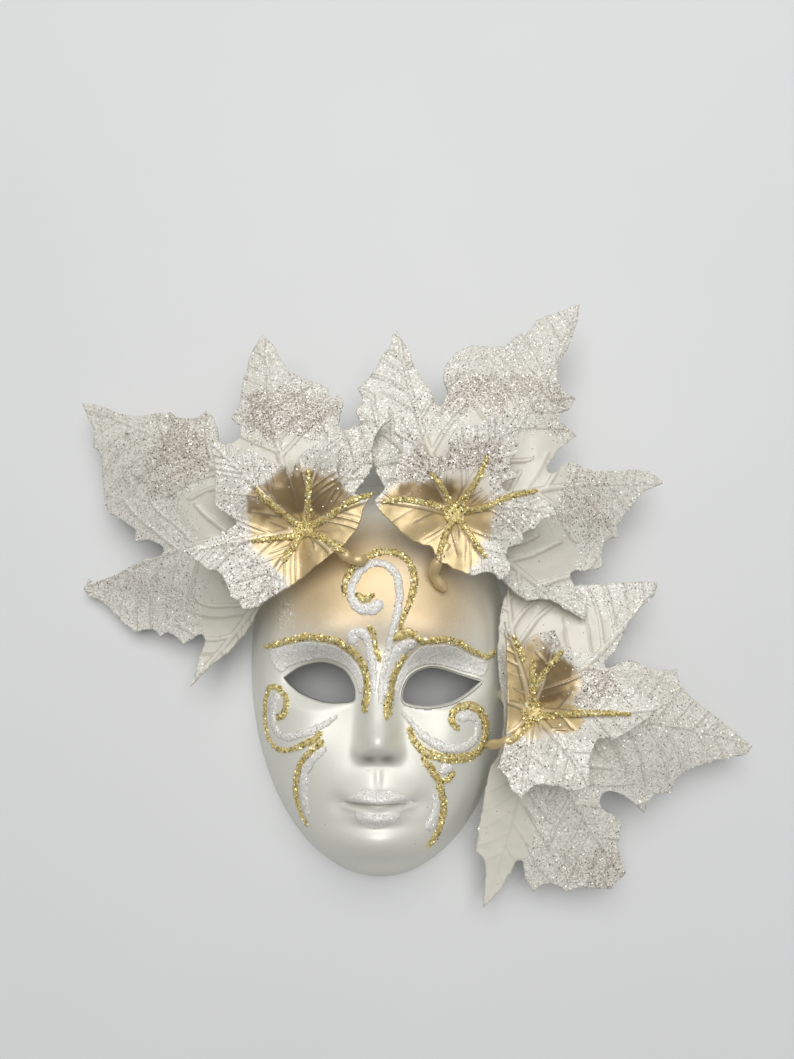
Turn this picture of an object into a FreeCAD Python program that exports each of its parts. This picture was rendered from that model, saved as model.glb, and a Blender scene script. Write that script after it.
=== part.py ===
import FreeCAD
import Part
import math
import os

# Small Venetian face mask with three pairs of shaped leather leaves, in millimetres.
# Frame: the mask lies face up on its flat back rim. +Z comes out of the face, +Y points to the
# forehead, +X to the right seen from the front, origin at the middle of the rim, in its plane.

Vector = FreeCAD.Vector

# ---- face shell ----
HALF_WIDTH = 35.6        # rim, widest half width
WIDEST_Y = 4.5           # height on the face where the rim is widest
CROWN_RISE = 48.5        # from the widest line up to the crown of the rim
CHIN_DROP = 57.3         # from the widest line down to the chin of the rim
DOME = 23.0              # height of the plain dome under the features
SIDE_STEEPNESS = 4.6     # power of the dome's fall-off at the temples
CHIN_STEEPNESS = 7.6     # power of the dome's fall-off at the chin
WALL = 2.2               # wall thickness of the shell

# ---- leaves and trim ----
LEATHER = 1.2            # thickness of a leaf
ARCH = 0.006             # sideways arch of a lobe, per mm
GOLD_RAISE = 0.7         # height of a gold glitter line over its ground
WHITE_RAISE = 0.6        # height of a white glitter line
SKIN_RAISE = 0.3         # height of a spread coat of fine glitter

FACE_GRID = 2.0          # spacing of the points the face surface passes through
LEAF_GRID = 3.0          # the same for a leaf

# ---- leaves: heart position and height, lobes as (bearing, reach, height half way, height at
# the tip), edge as points about the heart, lobe by lobe ----
LARGE_LEFT = {
    "heart": (-19.5, 37.5, 21.5),
    "lobes": [
        (150, 73, 26.5, 12),
        (102, 54, 27, 20),
        (51, 36, 28.5, 28.5),
        (26, 16, 27, 28),
        (-118, 20, 22, 20),
        (-128, 51, 20, 5),
        (-168, 64, 22, 5),
    ],
    "edge": [
        # long upper-left lobe, top side
        (-63, 37), (-58, 36), (-48, 32), (-36, 32), (-33, 30), (-28, 30), (-26, 32), (-25, 31),
        (-23, 27), (-21, 22), (-18, 22),
        # upper lobe
        (-16, 25), (-19, 29), (-17, 33), (-17, 37), (-16, 41), (-15, 47), (-12, 53), (-9, 50),
        (-7, 46), (-3, 41), (2, 39), (6, 37), (7, 34), (9, 35), (10, 33), (10, 25),
        # right lobe and the side tucked under the small leaf
        (14, 26), (23, 28), (20, 25), (18, 21), (18, 15), (14, 9), (10, 2), (5, -2), (-1, -6),
        (-6, -11), (-10, -17),
        # smooth lower lobe
        (-14, -24), (-20, -31), (-24, -34), (-30, -40), (-28, -32), (-27, -27),
        # lower-left lobe
        (-33, -29), (-37, -26), (-40, -27), (-42, -25), (-47, -26), (-51, -23), (-54, -20),
        (-58, -17), (-61, -16), (-62, -14), (-61, -11), (-60, -12), (-54, -11), (-44, -7),
        (-37, -5),
        # long upper-left lobe, under side
        (-41, -2), (-46, -2), (-46, 1), (-50, 4), (-54, 6), (-55, 8), (-56, 17), (-57, 23),
        (-59, 24), (-59, 29), (-61, 32),
    ],
}
LARGE_RIGHT = {
    "heart": (19.5, 41.5, 21.5),
    "lobes": [
        (133, 37, 23.5, 24),
        (107, 51, 24.5, 22),
        (59, 69, 26, 17),
        (10, 58, 26, 13),
        (-38, 43, 23, 17),
        (-55, 20, 22, 21),
        (169, 16, 23, 23.5),
    ],
    "edge": [
        # upper-left lobe
        (-24, 23), (-26, 27), (-24, 29), (-24, 31), (-25, 33), (-21, 38), (-19, 42), (-17, 45),
        (-16, 48), (-15, 49), (-14, 47), (-12, 44), (-11, 41), (-10, 38), (-6, 32), (-4, 28),
        # long upper-right lobe
        (-3, 29), (-2, 32), (-3, 36), (-2, 40), (1, 44), (5, 46), (14, 46), (17, 49), (21, 51),
        (23, 54), (28, 56), (35, 59), (34, 54), (31, 46), (28, 41), (28, 34), (32, 31), (30, 28),
        (27, 26), (28, 24), (32, 21), (27, 17), (24, 13), (23, 11),
        # right lobe
        (25, 10), (27, 12), (30, 14), (35, 12), (48, 13), (53, 13), (57, 10), (51, 7), (48, 4),
        (44, -1), (43, -3), (44, -5), (40, -6), (39, -8), (39, -13), (35, -14), (30, -15),
        # lower-right lobe and the side tucked under the small leaf
        (31, -18), (34, -21), (34, -23), (33, -27), (28, -24), (25, -22), (18, -22), (14, -19),
        (11, -16), (6, -12), (-1, -8), (-9, -3), (-16, 4), (-20, 10), (-22, 16),
    ],
}
LARGE_CHEEK = {
    "heart": (38.5, -8.0, 14.5),
    "lobes": [
        (43, 48, 18, 13),
        (-9, 60, 21, 9.5),
        (-61, 48, 18, 12),
        (-103, 51, 15, 9),
        (-143, 10, 16, 18.5),
        (180, 8, 17, 20),
        (120, 20, 16.5, 18),
        (99, 33, 15, 14),
    ],
    "edge": [
        # straight side standing along the face, and the lower-left tip
        (-5, 31), (-7, 25), (-8, 15), (-8, -11), (-10, -14), (-11, -18), (-13, -29), (-14, -36),
        (-12, -38), (-12, -50), (-8, -46), (-5, -41), (-3, -38),
        # lower lobe
        (-1, -43), (1, -46), (5, -44), (9, -46), (12, -45), (20, -45), (24, -41), (22, -34),
        (23, -28), (20, -26), (18, -25), (17, -22),
        # long right lobe
        (19, -20), (24, -22), (29, -26), (31, -22), (36, -21), (38, -17), (42, -15), (51, -13),
        (57, -12), (59, -10), (54, -6), (46, 0), (42, 3), (39, 7), (39, 10), (32, 10), (28, 12),
        (24, 12), (19, 11),
        # upper-right lobe and the side tucked under the large right leaf
        (22, 15), (27, 23), (29, 25), (34, 30), (35, 33),
    ],
}
SMALL_LEFT = {
    "heart": (-19.0, 37.0, 25.0),
    "lobes": [
        (137, 30, 31, 34),
        (71, 23, 32, 35),
        (21, 18, 30.5, 32),
        (-44, 12, 29, 31.5),
        (-123, 24, 28, 29),
        (-168, 29, 29, 31),
    ],
    "edge": [
        # upper-left lobe
        (-22, 21), (-15, 19), (-11, 18), (-8, 16), (-4, 15), (-3, 13),
        # upper lobe
        (-1, 16), (1, 18), (7, 21), (10, 19), (9, 16), (9, 13), (11, 9), (13, 8),
        # right lobe
        (17, 7), (15, 3), (14, 0), (10, -5), (7, -7), (2, -11),
        # lower lobe
        (-2, -14), (-7, -17), (-12, -20), (-14, -20), (-15, -18), (-17, -17), (-18, -14),
        (-20, -11),
        # left lobe
        (-23, -10), (-28, -6), (-24, -4), (-19, -1), (-16, 1), (-18, 3), (-21, 5), (-21, 15),
    ],
    "stalk": [(7.5, -4, 29.5), (11, -7, 29.5), (13, -8, 28.7), (16, -7.7, 27.6)],
    "stalk_radius": 1.0,
    "gold": [(16, 7), (2, 13), (-10, 8), (-11, -3), (-4, -8), (8, -5)],
}
SMALL_RIGHT = {
    "heart": (19.0, 41.0, 25.5),
    "lobes": [
        (174, 21, 31, 33.5),
        (120, 26, 32, 34),
        (58, 29, 32, 36),
        (-4, 24, 31, 35),
        (-57, 19, 28, 29),
        (-112, 13, 28.5, 30),
    ],
    "edge": [
        # left lobe
        (-20, 2), (-19, 0), (-16, -3), (-13, -6), (-9, -8), (-6, -9), (-5, -12),
        # lower lobe
        (-1, -14), (4, -16), (8, -15), (11, -17), (13, -15), (13, -13), (12, -11), (13, -9),
        # right lobe
        (16, -8), (16, -6), (19, -5), (20, -3), (24, -2), (22, 1), (18, 4), (15, 4), (11, 6),
        # upper-right lobe
        (15, 8), (13, 11), (15, 14), (15, 20), (16, 24), (10, 23), (6, 21), (0, 20), (-2, 17),
        (-2, 14), (-4, 13),
        # upper-left lobe
        (-7, 14), (-9, 17), (-10, 20), (-13, 22), (-15, 19), (-13, 16), (-14, 12), (-16, 7),
    ],
    "stalk": [(-2, -8, 28.2), (-4, -11.5, 28.8), (-5, -13.5, 28.2), (-5.3, -15.5, 27.0),
              (-4, -17.5, 25.9), (-2.5, -19.3, 25.4)],
    "stalk_radius": 1.0,
    "gold": [(-17, 2), (-8, 9), (5, 11), (18, 3), (6, -12), (-4, -9)],
}
SMALL_CHEEK = {
    "heart": (38.0, -8.0, 19.5),
    "lobes": [
        (107, 23, 24, 26),
        (75, 20, 25, 28),
        (3, 30, 27, 29),
        (-54, 21, 25, 28),
        (-100, 20, 23, 25),
        (-146, 10, 23, 24.5),
        (160, 8, 23, 24.5),
    ],
    "edge": [
        # upper lobes
        (-7, 22), (-4, 17), (-3, 16), (-1, 18), (5, 20), (7, 16), (9, 15), (9, 12), (10, 11),
        # right lobe
        (15, 10), (18, 10), (21, 7), (28, 3), (30, 2), (25, -2), (19, -6), (15, -6), (13, -9),
        # lower lobes
        (12, -17), (9, -18), (4, -17), (0, -17), (-4, -20), (-6, -18), (-7, -15), (-9, -13),
        # straight side next to the face
        (-7, -6), (-6.5, 13),
    ],
    "stalk": [(-3, -4, 22.5), (-5, -6.2, 23.2), (-7.5, -7.2, 23.2), (-9.5, -8, 21), (-11, -9, 17.8)],
    "stalk_radius": 0.9,
    "gold": [(-5, 18), (5, 14), (22, -1), (-5, -6), (-2, -12)],
}
LEAF_PAIRS = {
    "left": (LARGE_LEFT, SMALL_LEFT, (-18.0, 32.0, 4.5, 8.0)),
    "right": (LARGE_RIGHT, SMALL_RIGHT, (18.0, 33.0, 4.5, 8.0)),
    "cheek": (LARGE_CHEEK, SMALL_CHEEK, (33.0, -5.0, 2.2, 7.0)),
}

# ---- eye openings: upper lid line and lower lid line, each from corner to corner ----
EYES = {
    "left": (
        [(-24.5, 0), (-20, 2.8), (-14.3, 3.9), (-9, 2.1), (-6.2, -1.8), (-5.8, -4.8)],
        [(-5.8, -4.8), (-7, -5.7), (-13, -5.9), (-19, -4.2), (-22.6, -1.9), (-24.5, 0)],
    ),
    "right": (
        [(26, -1), (20.8, 0.6), (15.4, 2.3), (12, 2.4), (8.3, 0.8), (6.4, -2), (5.8, -4.8)],
        [(5.8, -4.8), (7, -6), (12, -6.8), (18, -5.9), (22.5, -3.6), (26, -1)],
    ),
}

# ---- painted glitter lines: half width at start, middle and end, then the points they pass ----
GOLD_LINES = {
    "scroll_gold_outline": (0.5, 0.6, 0.3, [
        (-8.4, 21.5), (-8.3, 24.2), (-7, 26.8), (-4.9, 29), (-2, 30.7), (1.5, 31.6), (5, 31),
        (7.2, 29.3), (8.6, 26.5), (8.8, 23.5), (8, 20), (7, 17.3), (6, 14.9), (5.4, 13)]),
    "scroll_gold_centre": (0.4, 0.6, 0.4, [(-5.1, 20.4), (-3.6, 19.4), (-1.9, 20.2)]),
    "bridge_gold_centre": (0.6, 0.4, 0.4, [(-2, 12.4), (-1, 11), (-1, 8.8), (-0.5, 6.9), (0.2, 5.2)]),
    "bridge_gold_right": (0.5, 0.6, 0.6, [(6, 5.2), (4.6, 2.9), (3.2, -0.2), (2.8, -3.9), (2.3, -7.7)]),
    "brow_gold_left": (0.5, 0.6, 0.6, [
        (-29.2, 8), (-26.6, 8.4), (-22.3, 9.6), (-18.2, 10.3), (-14.4, 10), (-10.7, 9.3),
        (-7.9, 7.7), (-5.3, 5.4), (-3.7, 3), (-3, 0.3), (-2.8, -2.5), (-3.4, -6.7)]),
    "brow_gold_right": (0.6, 0.5, 0.5, [
        (4.8, 10.4), (6.7, 11.5), (8.6, 10.8), (10.3, 9.3), (13.1, 9.4), (16.6, 9.6), (19.9, 8.8),
        (22.9, 7.1), (25.6, 5.9), (28.2, 5.2), (29.6, 6.4)]),
    "cheek_gold_left": (0.7, 0.4, 0.6, [
        (-25, -9.6), (-23.8, -8.7), (-23.3, -6.3), (-24, -3.9), (-26, -2.4), (-28.1, -2.4),
        (-29.4, -4.6), (-29.9, -8.5), (-29.9, -12.7), (-28.6, -16.1), (-25.6, -17.8),
        (-22, -17.4), (-18.5, -15.8), (-16, -14.5), (-14.4, -13.3)]),
    "cheek_gold_right": (0.5, 0.8, 0.5, [
        (7.7, -12.5), (8.6, -14.6), (10.8, -17), (14.2, -18.5), (17.4, -19.2), (20.8, -19.3),
        (23.8, -18.8), (26.1, -17.2), (27.2, -14.8), (27.1, -11.7), (25.8, -8.8), (23.6, -7),
        (20.9, -6.6), (18.6, -7.8), (17.9, -10), (19, -11.5)]),
    "drop_gold_left": (0.5, 0.5, 0.3, [
        (-14, -15.2), (-16.4, -17.2), (-18.5, -19.5), (-19.9, -22.2), (-20.8, -25.8),
        (-20.9, -29.6), (-20.1, -33.3), (-18.6, -36.8)]),
    "drop_gold_right": (0.6, 0.6, 0.7, [
        (11.3, -19.2), (12.8, -21.5), (14.5, -24.2), (15.5, -27.6), (16.1, -31), (15.7, -34.7),
        (14.7, -37.9), (12.8, -41)]),
    "drop_gold_side": (0.4, 0.5, 0.4, [(16, -24.6), (17.1, -24.3), (18.2, -23)]),
}
WHITE_LINES = {
    "scroll_white": (0.7, 0.8, 1.3, [
        (0.7, -4.3), (0.9, -1), (1.6, 2.8), (2.3, 6.2), (2.8, 9.1), (3.5, 12.5), (4.3, 15.1),
        (5, 18.8), (5, 22.2), (4.3, 25.5), (2.3, 27.8), (-0.7, 28.6), (-3.4, 27.5), (-5.6, 25),
        (-6.7, 22), (-6.2, 19), (-4.3, 17.2), (-1.9, 17), (-0.3, 18)]),
    "curl_white_left": (1.0, 0.7, 0.5, [
        (-6.4, 9.8), (-6, 11.1), (-4.3, 11.4), (-2.9, 10), (-2.2, 7.6), (-1.7, 4.2), (-1.4, 0.9),
        (-1.4, -2.4)]),
    "curl_white_right": (0.9, 0.8, 0.7, [(8, 8.6), (6.1, 8.3), (4.7, 6.9), (4.3, 5.3)]),
    "cheek_white_left": (1.0, 0.8, 0.4, [
        (-26.3, -4.8), (-27.3, -8), (-27.2, -11.2), (-25.6, -13.7), (-22.5, -14.3), (-19, -13.3),
        (-15.8, -12.2), (-12.8, -10.7), (-10.6, -9.1)]),
    "cheek_white_right": (1.0, 0.9, 0.4, [
        (20.7, -9.3), (22.6, -8.9), (24.3, -10.2), (25, -12.7), (23.7, -15.3), (20.6, -16.8),
        (16.9, -16.6), (13.7, -15.3), (10.6, -13.3), (8.2, -10.8), (6.2, -8.4)]),
    "drop_white_left": (0.6, 0.6, 0.5, [
        (-13.5, -16.9), (-15.9, -18.9), (-17.6, -21.2), (-18.6, -24.6), (-18.8, -28.3),
        (-18.2, -33.1)]),
    "drop_white_right": (0.4, 0.6, 1.2, [(13.8, -27.9), (14.2, -30.6), (13.7, -33.2), (13, -35.2)]),
    "drop_white_dot": (1.1, 1.2, 1.1, [(16.2, -21.7), (16.6, -21.6), (17, -21.5)]),
}

# ---- spread coats of fine glitter: closed outlines ----
GLITTER_COATS = {
    "lid_glitter_left": [
        (-28.3, 6.6), (-22.3, 8.2), (-18.2, 9), (-14.4, 8.7), (-10.7, 7.9), (-8.4, 6.4), (-6.2, 4.2),
        (-4.9, 2.2), (-4.1, 0), (-3.9, -2.6), (-4.7, -3.4), (-5.4, -1.4), (-6.6, 1.2), (-8.6, 3.1),
        (-11.6, 4.5), (-14.3, 4.9), (-17.6, 4.5), (-20.4, 3.8), (-23, 2.9), (-25.4, 1.6)],
    "lid_glitter_right": [
        (28, 3.8), (25.3, 4.6), (22.5, 5.8), (19.6, 7.5), (16.6, 8.3), (13.1, 8.1), (10.6, 7.9),
        (8.8, 6.4), (7, 4.2), (5.6, 2), (4.4, -0.4), (4.1, -2.6), (5, -3), (5.8, -1), (7.4, 1.5),
        (10, 3.1), (12.9, 3.5), (15.4, 3.4), (18, 2.8), (21, 1.8), (24, 1.1), (26.6, 0.6)],
    "lip_glitter_upper": [
        (-7.4, -29.1), (-6.6, -27.5), (-4.8, -26.4), (-2.9, -25.6), (-1.2, -26), (0.5, -25.8),
        (2.8, -25.9), (5.7, -26.8), (7.9, -28.7), (8.4, -29.8), (5.2, -29.4), (1.7, -28.9),
        (-1.4, -28.8), (-4.8, -28.9)],
    "lip_glitter_lower": [
        (-5.3, -30.9), (-1.9, -31), (1.7, -31), (5.2, -31.3), (4.5, -32.8), (1.9, -34.3),
        (-0.6, -34.9), (-3.2, -34.3), (-4.9, -32.8)],
}


def bump(x, y, middle_x, middle_y, spread_x, spread_y):
    """A smooth round hill of height one."""
    return math.exp(-((x - middle_x) / spread_x) ** 2 - ((y - middle_y) / spread_y) ** 2)


def ramp(value, start, end):
    """Zero before start, one after end, smooth between them."""
    t = min(1.0, max(0.0, (value - start) / (end - start)))
    return t * t * (3 - 2 * t)


def dome_height(x, y):
    """Plain oval dome with steep sides, falling through zero at the rim."""
    across = x / HALF_WIDTH
    along = (y - WIDEST_Y) / (CROWN_RISE if y > WIDEST_Y else CHIN_DROP)
    reach = math.hypot(across, along)
    if reach < 0.001:
        return DOME
    power = SIDE_STEEPNESS
    if along < 0:
        power += (CHIN_STEEPNESS - SIDE_STEEPNESS) * (along / reach) ** 2
    if reach > 1.12:
        # straight beyond the rim
        edge = 1.12 ** power
        return DOME * (1 - edge - power * edge / 1.12 * (reach - 1.12))
    return DOME * (1 - reach ** power)


def nose_height(x, y):
    """Ridge rising from the brow to the tip, a round tip and two wings."""
    rise = 2.2 * ramp(y, 9, 0) + 6.6 * ramp(y, 2, -13.5)
    fall = 1 - ramp(y, -15.2, -20.9)
    width = 3.6 + 0.4 * ramp(y, 2, -14)
    ridge = rise * fall * math.exp(-abs(x / width) ** 3)
    tip = 2.2 * bump(x, y, 0, -14.1, 3.6, 2.8)
    wings = 2.7 * bump(abs(x), y, 3.8, -17.5, 1.7, 1.9)
    return ridge + tip + wings


def mouth_height(x, y):
    """Muzzle, lips, the seam between them and the hollows round them."""
    side = abs(x)
    seam_y = -29.5 - 0.35 * math.exp(-(x / 2.2) ** 2)
    upper = 1.7 * math.exp(-((y - seam_y - 1.8) / 1.5) ** 2 - (side / 7.4) ** 4)
    lower = 2.2 * math.exp(-((y - seam_y + 2.5) / 1.7) ** 2 - (side / 5.8) ** 4)
    edge = 0.9 * math.exp(-((y - seam_y + 1.0) / 0.6) ** 2 - (side / 8.4) ** 8)
    seam = -1.7 * math.exp(-((y - seam_y) / 0.65) ** 2 - (side / 8.2) ** 8)
    muzzle = 4.2 * bump(x, y, 0, -28, 8.2, 8)
    philtrum = -0.7 * bump(x, y, 0, -23.6, 1.0, 2.4)
    corners = -0.9 * bump(side, y, 9.4, -29.8, 2.8, 2.6)
    under_lip = -1.1 * bump(x, y, 0, -34.9, 7, 1.6)
    return upper + lower + edge + seam + muzzle + philtrum + corners + under_lip


def face_height(x, y):
    """Outer surface of the shell."""
    side = abs(x)
    socket = math.hypot((side - 15.2) / 14.0, (y - 1.2) / 8.9)
    height = dome_height(x, y)
    height += 4.6 * bump(x, y, 0, 21, 24, 18)
    height += 1.1 * bump(side, y, 12.5, 11.5, 10.5, 4.6)
    height -= 6.0 * (1 - ramp(socket, 0.15, 1.08))
    height += 2.0 * bump(side, y, 18, -16, 8, 8)
    height += 4.8 * bump(x, y, 0, -39, 10.5, 5.2)
    height -= 1.6 * bump(x, y, 0, -45.8, 11, 2.6)
    return height + nose_height(x, y) + mouth_height(x, y)


def inside_height(x, y):
    """Inner surface of the shell: the outer one rolled inwards by a ball of the wall's radius."""
    lowest = face_height(x, y) - WALL
    for ring in (0.35, 0.6, 0.8, 0.93, 1.0):
        reach = ring * WALL
        sink = math.sqrt(max(0.0, WALL ** 2 - reach ** 2))
        for step in range(12):
            turn = math.radians(30 * step)
            height = face_height(x + reach * math.cos(turn), y + reach * math.sin(turn)) - sink
            lowest = min(lowest, height)
    return lowest


def leaf_height(leaf, x, y):
    """Top of a leaf: cupped at the heart, each lobe rising, arching and drooping on its own."""
    heart_x, heart_y, heart_z = leaf["heart"]
    dx = x - heart_x
    dy = y - heart_y
    distance = math.hypot(dx, dy)
    turn = math.atan2(dy, dx)
    total = reach = middle = tip = arch = 0.0
    for bearing, lobe_reach, lobe_middle, lobe_tip in leaf["lobes"]:
        swing = turn - math.radians(bearing)
        weight = math.exp(9 * (math.cos(swing) - 1)) + 1e-9
        total += weight
        reach += weight * lobe_reach
        middle += weight * lobe_middle
        tip += weight * lobe_tip
        arch += weight * (distance * math.sin(swing)) ** 2
    along = min(1.15, distance * total / reach)
    cup = 1 - math.exp(-(along / 0.24) ** 2)
    lobe = (middle + (tip - middle) * ramp(along, 0.3, 1.05)) / total
    return heart_z + (lobe - heart_z) * cup - ARCH * min(arch / total, 400.0) * cup


def sheet_face(height, low_x, high_x, low_y, high_y, spacing):
    """Smooth surface through heights taken on a square grid."""
    columns = int(math.ceil((high_x - low_x) / spacing)) + 1
    rows = int(math.ceil((high_y - low_y) / spacing)) + 1
    grid = []
    for column in range(columns):
        x = low_x + spacing * column
        line = []
        for row in range(rows):
            y = low_y + spacing * row
            line.append(Vector(x, y, height(x, y)))
        grid.append(line)
    surface = Part.BSplineSurface()
    surface.interpolate(grid)
    return surface.toShape()


def flat_polygon(points):
    corners = [Vector(x, y, 0) for x, y in points]
    return Part.Face(Part.makePolygon(corners + corners[:1]))


def smooth_edge(points):
    curve = Part.BSplineCurve()
    curve.interpolate([Vector(x, y, 0) for x, y in points])
    return curve.toShape()


def smooth_outline(points):
    """Flat face inside one closed smooth curve."""
    curve = Part.BSplineCurve()
    curve.interpolate([Vector(x, y, 0) for x, y in points], PeriodicFlag=True)
    return Part.Face(Part.Wire([curve.toShape()]))


def ribbon(start, middle, end, points):
    """Flat face of a line whose half width runs from start over middle to end, round ended."""
    curve = Part.BSplineCurve()
    curve.interpolate([Vector(x, y, 0) for x, y in points])
    first = curve.FirstParameter
    span = curve.LastParameter - first
    count = 3 * len(points)
    left = []
    right = []
    for index in range(count + 1):
        share = index / count
        place = curve.value(first + span * share)
        heading = curve.tangent(first + span * share)[0]
        half = middle + (start - middle) * (1 - ramp(share, 0, 0.3)) + (end - middle) * ramp(share, 0.7, 1)
        sideways = Vector(-heading.y, heading.x, 0) * half
        left.append(place + sideways)
        right.append(place - sideways)
    begin_heading = curve.tangent(first)[0]
    end_heading = curve.tangent(first + span)[0]
    begin_cap = Part.Arc(right[0], curve.value(first) - begin_heading * start, left[0])
    end_cap = Part.Arc(left[-1], curve.value(first + span) + end_heading * end, right[-1])
    left_side = Part.BSplineCurve()
    left_side.interpolate(left)
    right_side = Part.BSplineCurve()
    right_side.interpolate(right[::-1])
    wire = Part.Wire([left_side.toShape(), end_cap.toShape(), right_side.toShape(), begin_cap.toShape()])
    return Part.Face(wire)


def upright(flat, low, high):
    """The flat face drawn up into a block from low to high."""
    block = flat.copy()
    block.translate(Vector(0, 0, low))
    return block.extrude(Vector(0, 0, high - low))


def layer(ground, flat, raise_by):
    """Coat of even height standing on the ground surface, inside a flat outline."""
    coat = ground.extrude(Vector(0, 0, raise_by))
    return upright(flat, 0, 60).common(coat)


def write(name, shape):
    solids = shape.Solids
    piece = solids[0] if len(solids) == 1 else Part.makeCompound(solids)
    piece.exportStep("parts/" + name + ".step")
    box = piece.optimalBoundingBox(False, False)
    print("%-22s solids %d  %6.1f %6.1f  %6.1f %6.1f  %5.1f %5.1f  %s" % (
        name, len(solids), box.XMin, box.XMax, box.YMin, box.YMax, box.ZMin, box.ZMax, piece.isValid()))


def build_shell(outside):
    block = Part.makeBox(84, 124, 60, Vector(-42, -62, 0))
    outer = outside.extrude(Vector(0, 0, -60)).common(block)
    inside = sheet_face(inside_height, -40, 40, -56, 56, FACE_GRID)
    inner = inside.extrude(Vector(0, 0, -60))
    shell = outer.cut(inner)
    for upper_lid, lower_lid in EYES.values():
        outline = Part.Face(Part.Wire([smooth_edge(upper_lid), smooth_edge(lower_lid)]))
        shell = shell.cut(upright(outline, -1, 50))
    return outer, shell


def build_leaf(leaf):
    """Leaf solid with its stalk if it has one, and its top surface."""
    heart_x, heart_y, heart_z = leaf["heart"]
    edge = [(heart_x + dx, heart_y + dy) for dx, dy in leaf["edge"]]
    low_x = min(x for x, y in edge) - 3
    high_x = max(x for x, y in edge) + 3
    low_y = min(y for x, y in edge) - 3
    high_y = max(y for x, y in edge) + 3

    def top_height(x, y):
        return leaf_height(leaf, x, y)

    top = sheet_face(top_height, low_x, high_x, low_y, high_y, LEAF_GRID)
    solid = upright(flat_polygon(edge), -5, 60).common(top.extrude(Vector(0, 0, -LEATHER)))
    if "stalk" in leaf:
        curve = Part.BSplineCurve()
        curve.interpolate([Vector(heart_x + dx, heart_y + dy, z) for dx, dy, z in leaf["stalk"]])
        path = Part.Wire([curve.toShape()])
        heading = curve.tangent(curve.FirstParameter)[0]
        ring = Part.makeCircle(leaf["stalk_radius"], curve.value(curve.FirstParameter), heading)
        stalk = path.makePipeShell([Part.Wire([ring])], True, False)
        solid = solid.fuse(stalk)
    return solid, top


def build_gold_veins(leaf, top):
    """Gold glitter lines on a small leaf: a blot at the heart and a line along each midrib."""
    heart_x, heart_y, heart_z = leaf["heart"]
    block = Part.makeCylinder(2.4, 60, Vector(heart_x, heart_y, 0))
    for dx, dy in leaf["gold"]:
        points = [(heart_x + share * dx, heart_y + share * dy) for share in (0.1, 0.4, 0.7, 1.0)]
        block = block.fuse(upright(ribbon(0.9, 0.6, 0.4, points), 0, 60))
    return block.removeSplitter().common(top.extrude(Vector(0, 0, GOLD_RAISE)))


def build_glue(x, y, radius, floor, lower, upper_face):
    """Blob of glue standing on the lower solid, under the leaf whose underside is given."""
    column = Part.makeCylinder(radius, 60 - floor, Vector(x, y, floor))
    above = upper_face.extrude(Vector(0, 0, 80))
    return column.cut(lower).cut(above)


os.makedirs("parts", exist_ok=True)

outside_face = sheet_face(face_height, -42, 42, -62, 62, FACE_GRID)
dome_solid, shell_solid = build_shell(outside_face)
write("face_shell", shell_solid)

for side, (large, small, pad) in LEAF_PAIRS.items():
    large_solid, large_top = build_leaf(large)
    small_solid, small_top = build_leaf(small)
    write("leaf_large_" + side, large_solid)
    write("leaf_small_" + side, small_solid)
    write("leaf_gold_" + side, build_gold_veins(small, small_top).cut(small_solid))
    large_under = large_top.copy()
    large_under.translate(Vector(0, 0, -LEATHER))
    small_under = small_top.copy()
    small_under.translate(Vector(0, 0, -LEATHER))
    pad_x, pad_y, pad_radius, pad_floor = pad
    write("glue_shell_" + side, build_glue(pad_x, pad_y, pad_radius, pad_floor, dome_solid, large_under))
    heart_x, heart_y, heart_z = small["heart"]
    below = large_top.extrude(Vector(0, 0, -80))
    write("glue_leaf_" + side, build_glue(heart_x, heart_y, 3.0, 5.0, below, small_under))

for name, (start, middle, end, points) in WHITE_LINES.items():
    write(name, layer(outside_face, ribbon(start, middle, end, points), WHITE_RAISE))
for name, (start, middle, end, points) in GOLD_LINES.items():
    write(name, layer(outside_face, ribbon(start, middle, end, points), GOLD_RAISE))
for name, points in GLITTER_COATS.items():
    write(name, layer(outside_face, smooth_outline(points), SKIN_RAISE))
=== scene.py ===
"""A small Venetian mask with six shaped leather leaves, lying face up on a pale table."""
import bpy
import math
from functools import partial
import numpy as np
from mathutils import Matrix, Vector
from mathutils.geometry import delaunay_2d_cdt
from mathutils.kdtree import KDTree


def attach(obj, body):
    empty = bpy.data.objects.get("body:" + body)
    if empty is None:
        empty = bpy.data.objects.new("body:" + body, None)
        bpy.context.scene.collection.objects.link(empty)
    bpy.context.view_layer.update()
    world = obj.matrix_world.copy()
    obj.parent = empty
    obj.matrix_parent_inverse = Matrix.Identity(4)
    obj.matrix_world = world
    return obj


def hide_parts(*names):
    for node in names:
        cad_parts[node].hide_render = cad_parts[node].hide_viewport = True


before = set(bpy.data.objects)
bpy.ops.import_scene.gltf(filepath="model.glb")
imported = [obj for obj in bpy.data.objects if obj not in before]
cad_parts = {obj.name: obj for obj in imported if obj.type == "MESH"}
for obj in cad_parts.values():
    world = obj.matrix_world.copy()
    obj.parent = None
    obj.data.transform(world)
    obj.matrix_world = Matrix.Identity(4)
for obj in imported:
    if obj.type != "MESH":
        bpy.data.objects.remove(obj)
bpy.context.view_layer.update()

MM = 0.001

# Lengths are in millimetres until a mesh is written. +Z comes out of the face, +Y points to the
# forehead, and the origin is the middle of the shell's flat back rim.

# ---- face shell, as in the CAD ----
HALF_WIDTH = 35.6
WIDEST_Y = 4.5
CROWN_RISE = 48.5
CHIN_DROP = 57.3
DOME = 23.0
SIDE_STEEPNESS = 4.6
CHIN_STEEPNESS = 7.6
WALL = 2.2

# ---- leaves and trim, as in the CAD ----
LEATHER = 1.2
ARCH = 0.006
GOLD_RAISE = 0.7
WHITE_RAISE = 0.6
SKIN_RAISE = 0.3

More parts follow.
